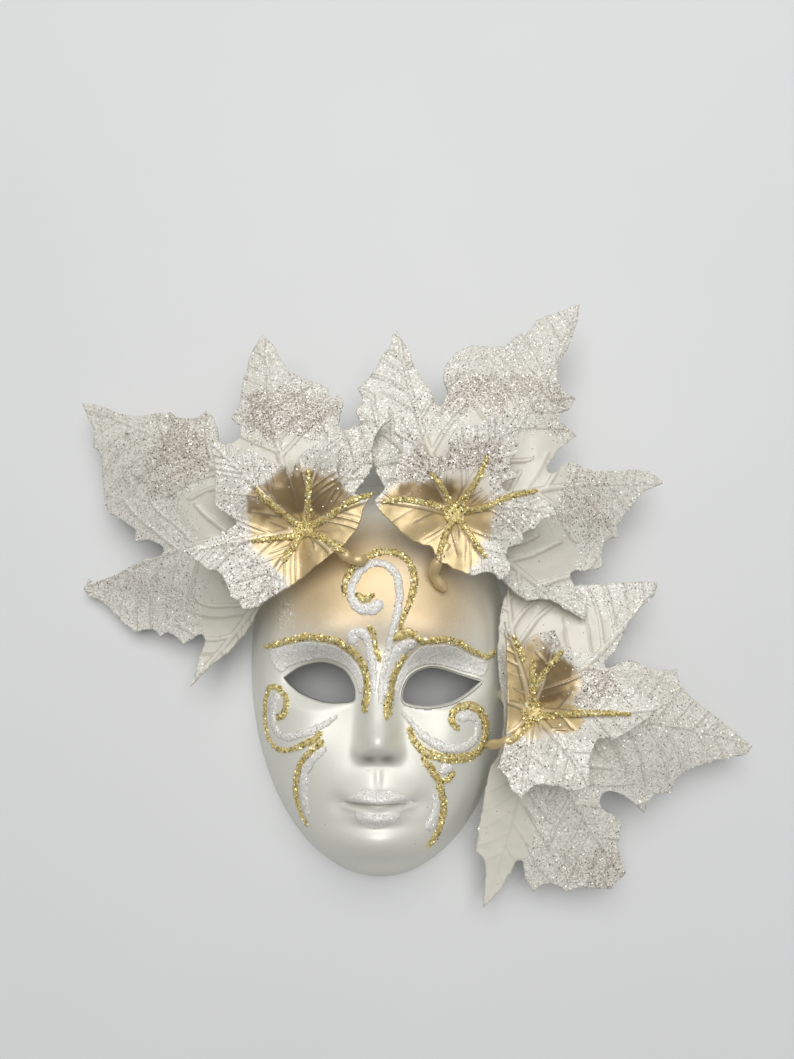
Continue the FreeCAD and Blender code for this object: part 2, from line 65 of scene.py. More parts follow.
# ---- fineness of the meshes, and how deep pieces are sunk into what they sit on ----
SHELL_GRID = 0.4
SHELL_INSIDE_GRID = 0.7
LEAF_GRID = {"large": 0.5, "small": 0.32}
COAT_GRID = 0.32
RIM_POINTS = 620
EYE_SPACING = 0.35
EYE_ROUNDING = 0.45
SHARP_CORNER = 32
LINE_SPACING = 0.24
LINE_SIDES = 12
LINE_BELLY = 0.35
STALK_SPACING = 0.35
STALK_SIDES = 14
STALK_FLATNESS = 1.25
BLOB_SIDES = 36
BLOB_LEVELS = 15
HEART_BLOB_RADIUS = 3.0
SINK = 0.2
COAT_SINK = 0.25
DEEP_SINK = 0.9
FLAKE_LIFT = 0.05
FLAKE_DEPTH = 0.9
STRAIGHT_FROM = 1.12

# ---- leaves: heart position and height, lobes as (bearing, reach, height half way, height at
# the tip), edge as points about the heart, lobe by lobe ----
LARGE_LEFT = {
    "heart": (-19.5, 37.5, 21.5),
    "lobes": [
        (150, 73, 26.5, 12),
        (102, 54, 27, 20),
        (51, 36, 28.5, 28.5),
        (26, 16, 27, 28),
        (-118, 20, 22, 20),
        (-128, 51, 20, 5),
        (-168, 64, 22, 5),
    ],
    "edge": [
        # long upper-left lobe, top side
        (-63, 37), (-58, 36), (-48, 32), (-36, 32), (-33, 30), (-28, 30), (-26, 32), (-25, 31),
        (-23, 27), (-21, 22), (-18, 22),
        # upper lobe
        (-16, 25), (-19, 29), (-17, 33), (-17, 37), (-16, 41), (-15, 47), (-12, 53), (-9, 50),
        (-7, 46), (-3, 41), (2, 39), (6, 37), (7, 34), (9, 35), (10, 33), (10, 25),
        # right lobe and the side tucked under the small leaf
        (14, 26), (23, 28), (20, 25), (18, 21), (18, 15), (14, 9), (10, 2), (5, -2), (-1, -6),
        (-6, -11), (-10, -17),
        # smooth lower lobe
        (-14, -24), (-20, -31), (-24, -34), (-30, -40), (-28, -32), (-27, -27),
        # lower-left lobe
        (-33, -29), (-37, -26), (-40, -27), (-42, -25), (-47, -26), (-51, -23), (-54, -20),
        (-58, -17), (-61, -16), (-62, -14), (-61, -11), (-60, -12), (-54, -11), (-44, -7),
        (-37, -5),
        # long upper-left lobe, under side
        (-41, -2), (-46, -2), (-46, 1), (-50, 4), (-54, 6), (-55, 8), (-56, 17), (-57, 23),
        (-59, 24), (-59, 29), (-61, 32),
    ],
}
LARGE_RIGHT = {
    "heart": (19.5, 41.5, 21.5),
    "lobes": [
        (133, 37, 23.5, 24),
        (107, 51, 24.5, 22),
        (59, 69, 26, 17),
        (10, 58, 26, 13),
        (-38, 43, 23, 17),
        (-55, 20, 22, 21),
        (169, 16, 23, 23.5),
    ],
    "edge": [
        # upper-left lobe
        (-24, 23), (-26, 27), (-24, 29), (-24, 31), (-25, 33), (-21, 38), (-19, 42), (-17, 45),
        (-16, 48), (-15, 49), (-14, 47), (-12, 44), (-11, 41), (-10, 38), (-6, 32), (-4, 28),
        # long upper-right lobe
        (-3, 29), (-2, 32), (-3, 36), (-2, 40), (1, 44), (5, 46), (14, 46), (17, 49), (21, 51),
        (23, 54), (28, 56), (35, 59), (34, 54), (31, 46), (28, 41), (28, 34), (32, 31), (30, 28),
        (27, 26), (28, 24), (32, 21), (27, 17), (24, 13), (23, 11),
        # right lobe
        (25, 10), (27, 12), (30, 14), (35, 12), (48, 13), (53, 13), (57, 10), (51, 7), (48, 4),
        (44, -1), (43, -3), (44, -5), (40, -6), (39, -8), (39, -13), (35, -14), (30, -15),
        # lower-right lobe and the side tucked under the small leaf
        (31, -18), (34, -21), (34, -23), (33, -27), (28, -24), (25, -22), (18, -22), (14, -19),
        (11, -16), (6, -12), (-1, -8), (-9, -3), (-16, 4), (-20, 10), (-22, 16),
    ],
}
LARGE_CHEEK = {
    "heart": (38.5, -8.0, 14.5),
    "lobes": [
        (43, 48, 18, 13),
        (-9, 60, 21, 9.5),
        (-61, 48, 18, 12),
        (-103, 51, 15, 9),
        (-143, 10, 16, 18.5),
        (180, 8, 17, 20),
        (120, 20, 16.5, 18),
        (99, 33, 15, 14),
    ],
    "edge": [
        # straight side standing along the face, and the lower-left tip
        (-5, 31), (-7, 25), (-8, 15), (-8, -11), (-10, -14), (-11, -18), (-13, -29), (-14, -36),
        (-12, -38), (-12, -50), (-8, -46), (-5, -41), (-3, -38),
        # lower lobe
        (-1, -43), (1, -46), (5, -44), (9, -46), (12, -45), (20, -45), (24, -41), (22, -34),
        (23, -28), (20, -26), (18, -25), (17, -22),
        # long right lobe
        (19, -20), (24, -22), (29, -26), (31, -22), (36, -21), (38, -17), (42, -15), (51, -13),
        (57, -12), (59, -10), (54, -6), (46, 0), (42, 3), (39, 7), (39, 10), (32, 10), (28, 12),
        (24, 12), (19, 11),
        # upper-right lobe and the side tucked under the large right leaf
        (22, 15), (27, 23), (29, 25), (34, 30), (35, 33),
    ],
}
SMALL_LEFT = {
    "heart": (-19.0, 37.0, 25.0),
    "lobes": [
        (137, 30, 31, 34),
        (71, 23, 32, 35),
        (21, 18, 30.5, 32),
        (-44, 12, 29, 31.5),
        (-123, 24, 28, 29),
        (-168, 29, 29, 31),
    ],
    "edge": [
        # upper-left lobe
        (-22, 21), (-15, 19), (-11, 18), (-8, 16), (-4, 15), (-3, 13),
        # upper lobe
        (-1, 16), (1, 18), (7, 21), (10, 19), (9, 16), (9, 13), (11, 9), (13, 8),
        # right lobe
        (17, 7), (15, 3), (14, 0), (10, -5), (7, -7), (2, -11),
        # lower lobe
        (-2, -14), (-7, -17), (-12, -20), (-14, -20), (-15, -18), (-17, -17), (-18, -14),
        (-20, -11),
        # left lobe
        (-23, -10), (-28, -6), (-24, -4), (-19, -1), (-16, 1), (-18, 3), (-21, 5), (-21, 15),
    ],
    "stalk": [(7.5, -4, 29.5), (11, -7, 29.5), (13, -8, 28.7), (16, -7.7, 27.6)],
    "stalk_radius": 1.0,
    "gold": [(16, 7), (2, 13), (-10, 8), (-11, -3), (-4, -8), (8, -5)],
}
SMALL_RIGHT = {
    "heart": (19.0, 41.0, 25.5),
    "lobes": [
        (174, 21, 31, 33.5),
        (120, 26, 32, 34),
        (58, 29, 32, 36),
        (-4, 24, 31, 35),
        (-57, 19, 28, 29),
        (-112, 13, 28.5, 30),
    ],
    "edge": [
        # left lobe
        (-20, 2), (-19, 0), (-16, -3), (-13, -6), (-9, -8), (-6, -9), (-5, -12),
        # lower lobe
        (-1, -14), (4, -16), (8, -15), (11, -17), (13, -15), (13, -13), (12, -11), (13, -9),
        # right lobe
        (16, -8), (16, -6), (19, -5), (20, -3), (24, -2), (22, 1), (18, 4), (15, 4), (11, 6),
        # upper-right lobe
        (15, 8), (13, 11), (15, 14), (15, 20), (16, 24), (10, 23), (6, 21), (0, 20), (-2, 17),
        (-2, 14), (-4, 13),
        # upper-left lobe
        (-7, 14), (-9, 17), (-10, 20), (-13, 22), (-15, 19), (-13, 16), (-14, 12), (-16, 7),
    ],
    "stalk": [(-2, -8, 28.2), (-4, -11.5, 28.8), (-5, -13.5, 28.2), (-5.3, -15.5, 27.0),
              (-4, -17.5, 25.9), (-2.5, -19.3, 25.4)],
    "stalk_radius": 1.0,
    "gold": [(-17, 2), (-8, 9), (5, 11), (18, 3), (6, -12), (-4, -9)],
}
SMALL_CHEEK = {
    "heart": (38.0, -8.0, 19.5),
    "lobes": [
        (107, 23, 24, 26),
        (75, 20, 25, 28),
        (3, 30, 27, 29),
        (-54, 21, 25, 28),
        (-100, 20, 23, 25),
        (-146, 10, 23, 24.5),
        (160, 8, 23, 24.5),
    ],
    "edge": [
        # upper lobes
        (-7, 22), (-4, 17), (-3, 16), (-1, 18), (5, 20), (7, 16), (9, 15), (9, 12), (10, 11),
        # right lobe
        (15, 10), (18, 10), (21, 7), (28, 3), (30, 2), (25, -2), (19, -6), (15, -6), (13, -9),
        # lower lobes
        (12, -17), (9, -18), (4, -17), (0, -17), (-4, -20), (-6, -18), (-7, -15), (-9, -13),
        # straight side next to the face
        (-7, -6), (-6.5, 13),
    ],
    "stalk": [(-3, -4, 22.5), (-5, -6.2, 23.2), (-7.5, -7.2, 23.2), (-9.5, -8, 21), (-11, -9, 17.8)],
    "stalk_radius": 0.9,
    "gold": [(-5, 18), (5, 14), (22, -1), (-5, -6), (-2, -12)],
}
LEAF_PAIRS = {
    "left": (LARGE_LEFT, SMALL_LEFT, (-18.0, 32.0, 4.5, 8.0)),
    "right": (LARGE_RIGHT, SMALL_RIGHT, (18.0, 33.0, 4.5, 8.0)),
    "cheek": (LARGE_CHEEK, SMALL_CHEEK, (33.0, -5.0, 2.2, 7.0)),
}

# ---- eye openings: upper lid line and lower lid line, each from corner to corner ----
EYES = {
    "left": (
        [(-24.5, 0), (-20, 2.8), (-14.3, 3.9), (-9, 2.1), (-6.2, -1.8), (-5.8, -4.8)],
        [(-5.8, -4.8), (-7, -5.7), (-13, -5.9), (-19, -4.2), (-22.6, -1.9), (-24.5, 0)],
    ),
    "right": (
        [(26, -1), (20.8, 0.6), (15.4, 2.3), (12, 2.4), (8.3, 0.8), (6.4, -2), (5.8, -4.8)],
        [(5.8, -4.8), (7, -6), (12, -6.8), (18, -5.9), (22.5, -3.6), (26, -1)],
    ),
}

# ---- glitter lines: half width at start, middle and end, then the points they pass. The right
# brow and bridge lines, both white curls and both white drops are fuller than in the CAD ----
GOLD_LINES = {
    "scroll_gold_outline": (0.5, 0.6, 0.3, [
        (-8.4, 21.5), (-8.3, 24.2), (-7, 26.8), (-4.9, 29), (-2, 30.7), (1.5, 31.6), (5, 31),
        (7.2, 29.3), (8.6, 26.5), (8.8, 23.5), (8, 20), (7, 17.3), (6, 14.9), (5.4, 13)]),
    "scroll_gold_centre": (0.4, 0.6, 0.4, [(-5.1, 20.4), (-3.6, 19.4), (-1.9, 20.2)]),
    "bridge_gold_centre": (0.6, 0.4, 0.4, [(-2, 12.4), (-1, 11), (-1, 8.8), (-0.5, 6.9), (0.2, 5.2)]),
    "bridge_gold_right": (0.6, 0.7, 0.8, [(6, 5.2), (4.6, 2.9), (3.2, -0.2), (2.8, -3.9), (2.3, -7.7)]),
    "brow_gold_left": (0.5, 0.6, 0.6, [
        (-29.2, 8), (-26.6, 8.4), (-22.3, 9.6), (-18.2, 10.3), (-14.4, 10), (-10.7, 9.3),
        (-7.9, 7.7), (-5.3, 5.4), (-3.7, 3), (-3, 0.3), (-2.8, -2.5), (-3.4, -6.7)]),
    "brow_gold_right": (0.9, 0.5, 0.4, [
        (4.8, 10.4), (6.7, 11.5), (8.6, 10.8), (10.3, 9.3), (13.1, 9.4), (16.6, 9.6), (19.9, 8.8),
        (22.9, 7.1), (25.6, 5.9), (28.2, 5.2), (29.6, 6.4)]),
    "cheek_gold_left": (0.7, 0.4, 0.6, [
        (-25, -9.6), (-23.8, -8.7), (-23.3, -6.3), (-24, -3.9), (-26, -2.4), (-28.1, -2.4),
        (-29.4, -4.6), (-29.9, -8.5), (-29.9, -12.7), (-28.6, -16.1), (-25.6, -17.8),
        (-22, -17.4), (-18.5, -15.8), (-16, -14.5), (-14.4, -13.3)]),
    "cheek_gold_right": (0.5, 0.8, 0.5, [
        (7.7, -12.5), (8.6, -14.6), (10.8, -17), (14.2, -18.5), (17.4, -19.2), (20.8, -19.3),
        (23.8, -18.8), (26.1, -17.2), (27.2, -14.8), (27.1, -11.7), (25.8, -8.8), (23.6, -7),
        (20.9, -6.6), (18.6, -7.8), (17.9, -10), (19, -11.5)]),
    "drop_gold_left": (0.5, 0.5, 0.3, [
        (-14, -15.2), (-16.4, -17.2), (-18.5, -19.5), (-19.9, -22.2), (-20.8, -25.8),
        (-20.9, -29.6), (-20.1, -33.3), (-18.6, -36.8)]),
    "drop_gold_right": (0.6, 0.6, 0.7, [
        (11.3, -19.2), (12.8, -21.5), (14.5, -24.2), (15.5, -27.6), (16.1, -31), (15.7, -34.7),
        (14.7, -37.9), (12.8, -41)]),
    "drop_gold_side": (0.4, 0.5, 0.4, [(16, -24.6), (17.1, -24.3), (18.2, -23)]),
}
WHITE_LINES = {
    "scroll_white": (0.7, 0.8, 1.3, [
        (0.7, -4.3), (0.9, -1), (1.6, 2.8), (2.3, 6.2), (2.8, 9.1), (3.5, 12.5), (4.3, 15.1),
        (5, 18.8), (5, 22.2), (4.3, 25.5), (2.3, 27.8), (-0.7, 28.6), (-3.4, 27.5), (-5.6, 25),
        (-6.7, 22), (-6.2, 19), (-4.3, 17.2), (-1.9, 17), (-0.3, 18)]),
    "curl_white_left": (1.3, 0.9, 0.6, [
        (-6.4, 9.8), (-6, 11.1), (-4.3, 11.4), (-2.9, 10), (-2.2, 7.6), (-1.7, 4.2), (-1.4, 0.9),
        (-1.4, -2.4)]),
    "curl_white_right": (1.0, 1.5, 0.8, [
        (8, 8.6), (6.1, 7.8), (4.6, 6), (3.6, 3.4), (2.6, 0.4), (2.1, -2.6)]),
    "cheek_white_left": (1.0, 0.8, 0.4, [
        (-26.3, -4.8), (-27.3, -8), (-27.2, -11.2), (-25.6, -13.7), (-22.5, -14.3), (-19, -13.3),
        (-15.8, -12.2), (-12.8, -10.7), (-10.6, -9.1)]),
    "cheek_white_right": (1.0, 0.9, 0.4, [
        (20.7, -9.3), (22.6, -8.9), (24.3, -10.2), (25, -12.7), (23.7, -15.3), (20.6, -16.8),
        (16.9, -16.6), (13.7, -15.3), (10.6, -13.3), (8.2, -10.8), (6.2, -8.4)]),
    "drop_white_left": (0.7, 0.95, 0.7, [
        (-13.5, -16.9), (-15.9, -18.9), (-17.6, -21.2), (-18.6, -24.6), (-18.8, -28.3),
        (-18.2, -33.1)]),
    "drop_white_right": (0.6, 0.9, 1.4, [(13.8, -27.9), (14.2, -30.6), (13.7, -33.2), (13, -35.2)]),
    "drop_white_dot": (1.1, 1.2, 1.1, [(16.2, -21.7), (16.6, -21.6), (17, -21.5)]),
}

# ---- spread coats of fine glitter: closed outlines ----
GLITTER_COATS = {
    "lid_glitter_left": [
        (-28.3, 6.6), (-22.3, 8.2), (-18.2, 9), (-14.4, 8.7), (-10.7, 7.9), (-8.4, 6.4), (-6.2, 4.2),
        (-4.9, 2.2), (-4.1, 0), (-3.9, -2.6), (-4.7, -3.4), (-5.4, -1.4), (-6.6, 1.2), (-8.6, 3.1),
        (-11.6, 4.5), (-14.3, 4.9), (-17.6, 4.5), (-20.4, 3.8), (-23, 2.9), (-25.4, 1.6)],
    "lid_glitter_right": [
        (28, 3.8), (25.3, 4.6), (22.5, 5.8), (19.6, 7.5), (16.6, 8.3), (13.1, 8.1), (10.6, 7.9),
        (8.8, 6.4), (7, 4.2), (5.6, 2), (4.4, -0.4), (4.1, -2.6), (5, -3), (5.8, -1), (7.4, 1.5),
        (10, 3.1), (12.9, 3.5), (15.4, 3.4), (18, 2.8), (21, 1.8), (24, 1.1), (26.6, 0.6)],
    "lip_glitter_upper": [
        (-7.4, -29.1), (-6.6, -27.5), (-4.8, -26.4), (-2.9, -25.6), (-1.2, -26), (0.5, -25.8),
        (2.8, -25.9), (5.7, -26.8), (7.9, -28.7), (8.4, -29.8), (5.2, -29.4), (1.7, -28.9),
        (-1.4, -28.8), (-4.8, -28.9)],
    "lip_glitter_lower": [
        (-5.3, -30.9), (-1.9, -31), (1.7, -31), (5.2, -31.3), (4.5, -32.8), (1.9, -34.3),
        (-0.6, -34.9), (-3.2, -34.3), (-4.9, -32.8)],
}

# ---- heights ----

def bump(x, y, middle_x, middle_y, spread_x, spread_y):
    """A smooth round hill of height one."""
    return np.exp(-((x - middle_x) / spread_x) ** 2 - ((y - middle_y) / spread_y) ** 2)


def ramp(value, start, end):
    """Zero before start, one after end, smooth between them."""
    t = np.clip((value - start) / (end - start), 0, 1)
    return t * t * (3 - 2 * t)


def grain(x, y, size, seed):
    """Smooth random relief between -1 and 1, with lumps of about the given size."""
    table = np.random.default_rng(seed).uniform(-1, 1, (128, 128))
    u = np.asarray(x) / size + 40
    v = np.asarray(y) / size + 40
    column = np.floor(u).astype(int)
    row = np.floor(v).astype(int)
    u = ramp(u - column, 0, 1)
    v = ramp(v - row, 0, 1)
    low = table[column % 128, row % 128] * (1 - u) + table[(column + 1) % 128, row % 128] * u
    high = table[column % 128, (row + 1) % 128] * (1 - u) + table[(column + 1) % 128, (row + 1) % 128] * u
    return low * (1 - v) + high * v


def dome_height(x, y):
    """Plain oval dome with steep sides, falling through zero at the rim."""
    across = x / HALF_WIDTH
    along = (y - WIDEST_Y) / np.where(y > WIDEST_Y, CROWN_RISE, CHIN_DROP)
    reach = np.maximum(np.hypot(across, along), 0.001)
    chin_share = np.where(along < 0, (along / reach) ** 2, 0)
    power = SIDE_STEEPNESS + (CHIN_STEEPNESS - SIDE_STEEPNESS) * chin_share
    edge = STRAIGHT_FROM ** power
    beyond = 1 - edge - power * edge / STRAIGHT_FROM * (reach - STRAIGHT_FROM)
    return DOME * np.where(reach > STRAIGHT_FROM, beyond, 1 - reach ** power)


def nose_height(x, y):
    """Ridge rising from the brow to the tip, a round tip and two wings."""
    rise = 2.2 * ramp(y, 9, 0) + 6.6 * ramp(y, 2, -13.5)
    fall = 1 - ramp(y, -15.2, -20.9)
    width = 3.6 + 0.4 * ramp(y, 2, -14)
    ridge = rise * fall * np.exp(-np.abs(x / width) ** 3)
    tip = 2.2 * bump(x, y, 0, -14.1, 3.6, 2.8)
    wings = 2.7 * bump(np.abs(x), y, 3.8, -17.5, 1.7, 1.9)
    return ridge + tip + wings


def mouth_height(x, y):
    """Muzzle, lips, the seam between them and the hollows round them."""
    side = np.abs(x)
    seam_y = -29.5 - 0.35 * np.exp(-(x / 2.2) ** 2)
    upper = 1.7 * np.exp(-((y - seam_y - 1.8) / 1.5) ** 2 - (side / 7.4) ** 4)
    lower = 2.2 * np.exp(-((y - seam_y + 2.5) / 1.7) ** 2 - (side / 5.8) ** 4)
    edge = 0.9 * np.exp(-((y - seam_y + 1.0) / 0.6) ** 2 - (side / 8.4) ** 8)
    seam = -1.7 * np.exp(-((y - seam_y) / 0.65) ** 2 - (side / 8.2) ** 8)
    muzzle = 4.2 * bump(x, y, 0, -28, 8.2, 8)
    philtrum = -0.7 * bump(x, y, 0, -23.6, 1.0, 2.4)
    corners = -0.9 * bump(side, y, 9.4, -29.8, 2.8, 2.6)
    under_lip = -1.1 * bump(x, y, 0, -34.9, 7, 1.6)
    return upper + lower + edge + seam + muzzle + philtrum + corners + under_lip


def face_height(x, y):
    """Outer surface of the shell."""
    side = np.abs(x)
    socket = np.hypot((side - 15.2) / 14.0, (y - 1.2) / 8.9)
    height = dome_height(x, y)
    height = height + 4.6 * bump(x, y, 0, 21, 24, 18)
    height = height + 1.1 * bump(side, y, 12.5, 11.5, 10.5, 4.6)
    height = height - 6.0 * (1 - ramp(socket, 0.15, 1.08))
    height = height + 2.0 * bump(side, y, 18, -16, 8, 8)
    height = height + 4.8 * bump(x, y, 0, -39, 10.5, 5.2)
    height = height - 1.6 * bump(x, y, 0, -45.8, 11, 2.6)
    return height + nose_height(x, y) + mouth_height(x, y)


def inside_height(x, y):
    """Inner surface of the shell: the outer one rolled inwards by a ball of the wall's radius."""
    lowest = face_height(x, y) - WALL
    for ring in (0.35, 0.6, 0.8, 0.93, 1.0):
        reach = ring * WALL
        sink = math.sqrt(max(0.0, WALL ** 2 - reach ** 2))
        for step in range(12):
            turn = math.radians(30 * step)
            rolled = face_height(x + reach * math.cos(turn), y + reach * math.sin(turn)) - sink
            lowest = np.minimum(lowest, rolled)
    return lowest


def leaf_place(leaf, x, y):
    """Share of the lobes' reach at each point, and their heights and arch mixed by bearing."""
    heart_x, heart_y = leaf["heart"][:2]
    dx = x - heart_x
    dy = y - heart_y
    distance = np.hypot(dx, dy)
    turn = np.arctan2(dy, dx)
    total = reach = middle = tip = arch = 0.0
    for bearing, lobe_reach, lobe_middle, lobe_tip in leaf["lobes"]:
        swing = turn - math.radians(bearing)
        weight = np.exp(9 * (np.cos(swing) - 1)) + 1e-9
        total = total + weight
        reach = reach + weight * lobe_reach
        middle = middle + weight * lobe_middle
        tip = tip + weight * lobe_tip
        arch = arch + weight * (distance * np.sin(swing)) ** 2
    along = np.minimum(1.15, distance * total / reach)
    return along, middle / total, tip / total, arch / total


def leaf_height(leaf, x, y):
    """Top of a leaf: cupped at the heart, each lobe rising, arching and drooping on its own."""
    heart_z = leaf["heart"][2]
    along, middle, tip, arch = leaf_place(leaf, x, y)
    cup = 1 - np.exp(-(along / 0.24) ** 2)
    lobe = middle + (tip - middle) * ramp(along, 0.3, 1.05)
    return heart_z + (lobe - heart_z) * cup - ARCH * np.minimum(arch, 400.0) * cup


# ---- lines and outlines ----

def resample(points, spacing):
    """The same line with evenly spaced points."""
    steps = np.hypot(*np.diff(points[:, :2], axis=0).T)
    lengths = np.concatenate([[0], np.cumsum(steps)])
    count = max(3, int(round(lengths[-1] / spacing)) + 1)
    places = np.linspace(0, lengths[-1], count)
    return np.column_stack([np.interp(places, lengths, column) for column in points.T])


def spline(points, spacing, closed=False):
    """Evenly spaced points along a smooth curve through the given ones."""
    p = np.array(points, float)
    if closed:
        p = np.vstack([p[-1], p, p[0], p[1]])
    else:
        p = np.vstack([2 * p[0] - p[1], p, 2 * p[-1] - p[-2]])
    t = np.linspace(0, 1, 16, endpoint=False)[:, None]
    runs = []
    for a, b, c, d in zip(p[:-3], p[1:-2], p[2:-1], p[3:]):
        curve = 2 * b + (c - a) * t + (2 * a - 5 * b + 4 * c - d) * t ** 2
        runs.append(0.5 * (curve + (3 * b - 3 * c + d - a) * t ** 3))
    runs.append(p[-2:-1])
    line = resample(np.vstack(runs), spacing)
    return line[:-1] if closed else line


def unit(vectors):
    return vectors / np.maximum(np.linalg.norm(vectors, axis=-1, keepdims=True), 1e-9)


def toothed(edge, spacing):
    """Leaf outline: pointed at its outward corners and rounded in its bays."""
    p = np.array(edge, float)
    ahead = np.roll(p, -1, 0) - p
    back = np.roll(ahead, 1, 0)
    cross = back[:, 0] * ahead[:, 1] - back[:, 1] * ahead[:, 0]
    turn = np.arctan2(cross, (back * ahead).sum(1))
    pointed = np.degrees(turn) * np.sign(turn.sum()) > SHARP_CORNER
    mean = unit(unit(back) + unit(ahead))
    loop = []
    for index in range(len(p)):
        following = (index + 1) % len(p)
        chord = np.linalg.norm(ahead[index])
        straight = ahead[index] / chord
        leave = straight if pointed[index] else mean[index]
        arrive = straight if pointed[following] else mean[following]
        count = max(2, int(round(chord / spacing)))
        t = np.linspace(0, 1, count, endpoint=False)[:, None]
        s = 1 - t
        loop.append(p[index] * s * s * (1 + 2 * t) + p[following] * t * t * (3 - 2 * t)
                    + leave * chord * t * s * s - arrive * chord * t * t * s)
    return np.vstack(loop)


def inside(points, loop):
    """Which points lie inside a closed loop."""
    x, y = points.T
    within = np.zeros(len(x), bool)
    for (ax, ay), (bx, by) in zip(loop, np.roll(loop, -1, 0)):
        if ay != by:
            spans = (ay > y) != (by > y)
            within ^= spans & (x < (bx - ax) * (y - ay) / (by - ay) + ax)
    return within


# ---- meshes ----

def write_mesh(name, points, faces, material, flat=None, marks=None):
    """New object with that mesh; the slice flat of its faces is shaded flat; marks are attributes."""
    mesh = bpy.data.meshes.new(name)
    mesh.from_pydata((np.asarray(points) * MM).tolist(), [], [tuple(face) for face in faces])
    smooth = np.ones(len(mesh.polygons), bool)
    if flat is not None:
        smooth[flat] = False
    mesh.polygons.foreach_set("use_smooth", smooth)
    for key, values in (marks or {}).items():
        layer = mesh.attributes.new(key, "FLOAT", "POINT")
        layer.data.foreach_set("value", np.asarray(values, float))
    mesh.materials.append(material)
    piece = bpy.data.objects.new(name, mesh)
    bpy.context.collection.objects.link(piece)
    return piece


def patch(loops, spacing, extra=None):
    """Even triangles inside the first loop and outside the others, and each loop's own indices."""
    low = loops[0].min(0)
    high = loops[0].max(0)
    rows = np.arange(low[1], high[1], spacing * 0.866)
    columns = np.arange(low[0], high[0], spacing)
    grid_x, grid_y = np.meshgrid(columns, rows)
    grid_x = grid_x + (np.arange(len(rows)) % 2)[:, None] * spacing / 2
    grid = np.column_stack([grid_x.ravel(), grid_y.ravel()])
    if extra is not None:
        grid = extra(grid)
    keep = inside(grid, loops[0])
    for hole in loops[1:]:
        keep &= ~inside(grid, hole)
    grid = grid[keep]
    border = np.vstack(loops)
    tree = KDTree(len(border))
    for index, (x, y) in enumerate(border):
        tree.insert((x, y, 0), index)
    tree.balance()
    clear = [tree.find((x, y, 0))[2] > 0.55 * spacing for x, y in grid]
    points = np.vstack([border, grid[np.array(clear, bool)]])
    edges = []
    ranges = []
    first = 0
    for loop in loops:
        count = len(loop)
        edges += [(first + step, first + (step + 1) % count) for step in range(count)]
        ranges.append(range(first, first + count))
        first += count
    result = delaunay_2d_cdt([Vector(p) for p in points], edges, [], 0, 1e-7)
    flat = np.array([(v.x, v.y) for v in result[0]])
    place = {}
    for index, sources in enumerate(result[3]):
        for source in sources:
            place[source] = index
    triangles = np.array(result[2])
    centres = flat[triangles].mean(1)
    keep = inside(centres, loops[0])
    for hole in loops[1:]:
        keep &= ~inside(centres, hole)
    return flat, triangles[keep], [[place[i] for i in run] for run in ranges]


def wall(upper, lower):
    """Four-sided faces between two closed rings of indices."""
    return [(upper[i - 1], upper[i], lower[i], lower[i - 1]) for i in range(len(upper))]


def slab(outline, spacing, top, bottom):
    """Points and faces of a closed sheet between two height functions, and the wall's first face."""
    flat, triangles, (ring,) = patch([outline], spacing)
    x, y = flat.T
    count = len(flat)
    points = np.vstack([np.column_stack([flat, top(x, y)]), np.column_stack([flat, bottom(x, y)])])
    a, b, c = flat[triangles[0]]
    if (b - a)[0] * (c - a)[1] - (b - a)[1] * (c - a)[0] < 0:
        triangles = triangles[:, ::-1]
    signed = sum(flat[ring[i - 1]][0] * flat[ring[i]][1] - flat[ring[i]][0] * flat[ring[i - 1]][1]
                 for i in range(len(ring)))
    ring = ring if signed > 0 else ring[::-1]
    under = triangles[:, ::-1] + count
    sides = wall([i + count for i in ring], ring)
    return points, triangles.tolist() + under.tolist() + sides, 2 * len(triangles)


def ring_faces(rings, sides, flip=False):
    """Faces of a closed tube of that many rings of points, both ends capped."""
    faces = []
    for low in range(0, (rings - 1) * sides, sides):
        for step in range(sides):
            following = (step + 1) % sides
            a, b, c, d = low + step, low + following, low + sides + following, low + sides + step
            faces.append((b, a, d, c) if flip else (a, b, c, d))
    start = tuple(range(sides))
    end = tuple((rings - 1) * sides + step for step in range(sides))
    return faces + ([start, end[::-1]] if flip else [start[::-1], end])


def flakes(name, places, look, material, draw):
    """Six-sided glitter flakes, each a shallow closed cone with its point sunk in the coat.

    places: centres and normals. look: radius, its least and greatest share, bias of tone, tilt.
    """
    centres, normals = places
    radius, least, greatest, bias, tilt = look
    count = len(centres)
    radii = radius * draw.uniform(least, greatest, count)
    tones = draw.random(count) ** bias
    normals = unit(normals + draw.normal(0, tilt, (count, 3)))
    normals[:, 2] = np.abs(normals[:, 2])
    first = unit(np.cross(normals, draw.normal(0, 1, (count, 3))))
    second = np.cross(normals, first)
    corners = []
    for step in range(6):
        turn = math.radians(60 * step)
        corners.append(centres + radii[:, None] * (math.cos(turn) * first + math.sin(turn) * second))
    corners.append(centres - normals * radii[:, None] * FLAKE_DEPTH)
    points = np.stack(corners, 1).reshape(-1, 3)
    base = 7 * np.arange(count)
    faces = [tuple(range(b, b + 6)) for b in base]
    for step in range(6):
        faces += [(b + (step + 1) % 6, b + step, b + 6) for b in base]
    return write_mesh(name, points, faces, material, slice(0, None), {"tone": np.repeat(tones, 7)})


# ---- leaves: ribs, veins and where the paint and the glitter lie ----

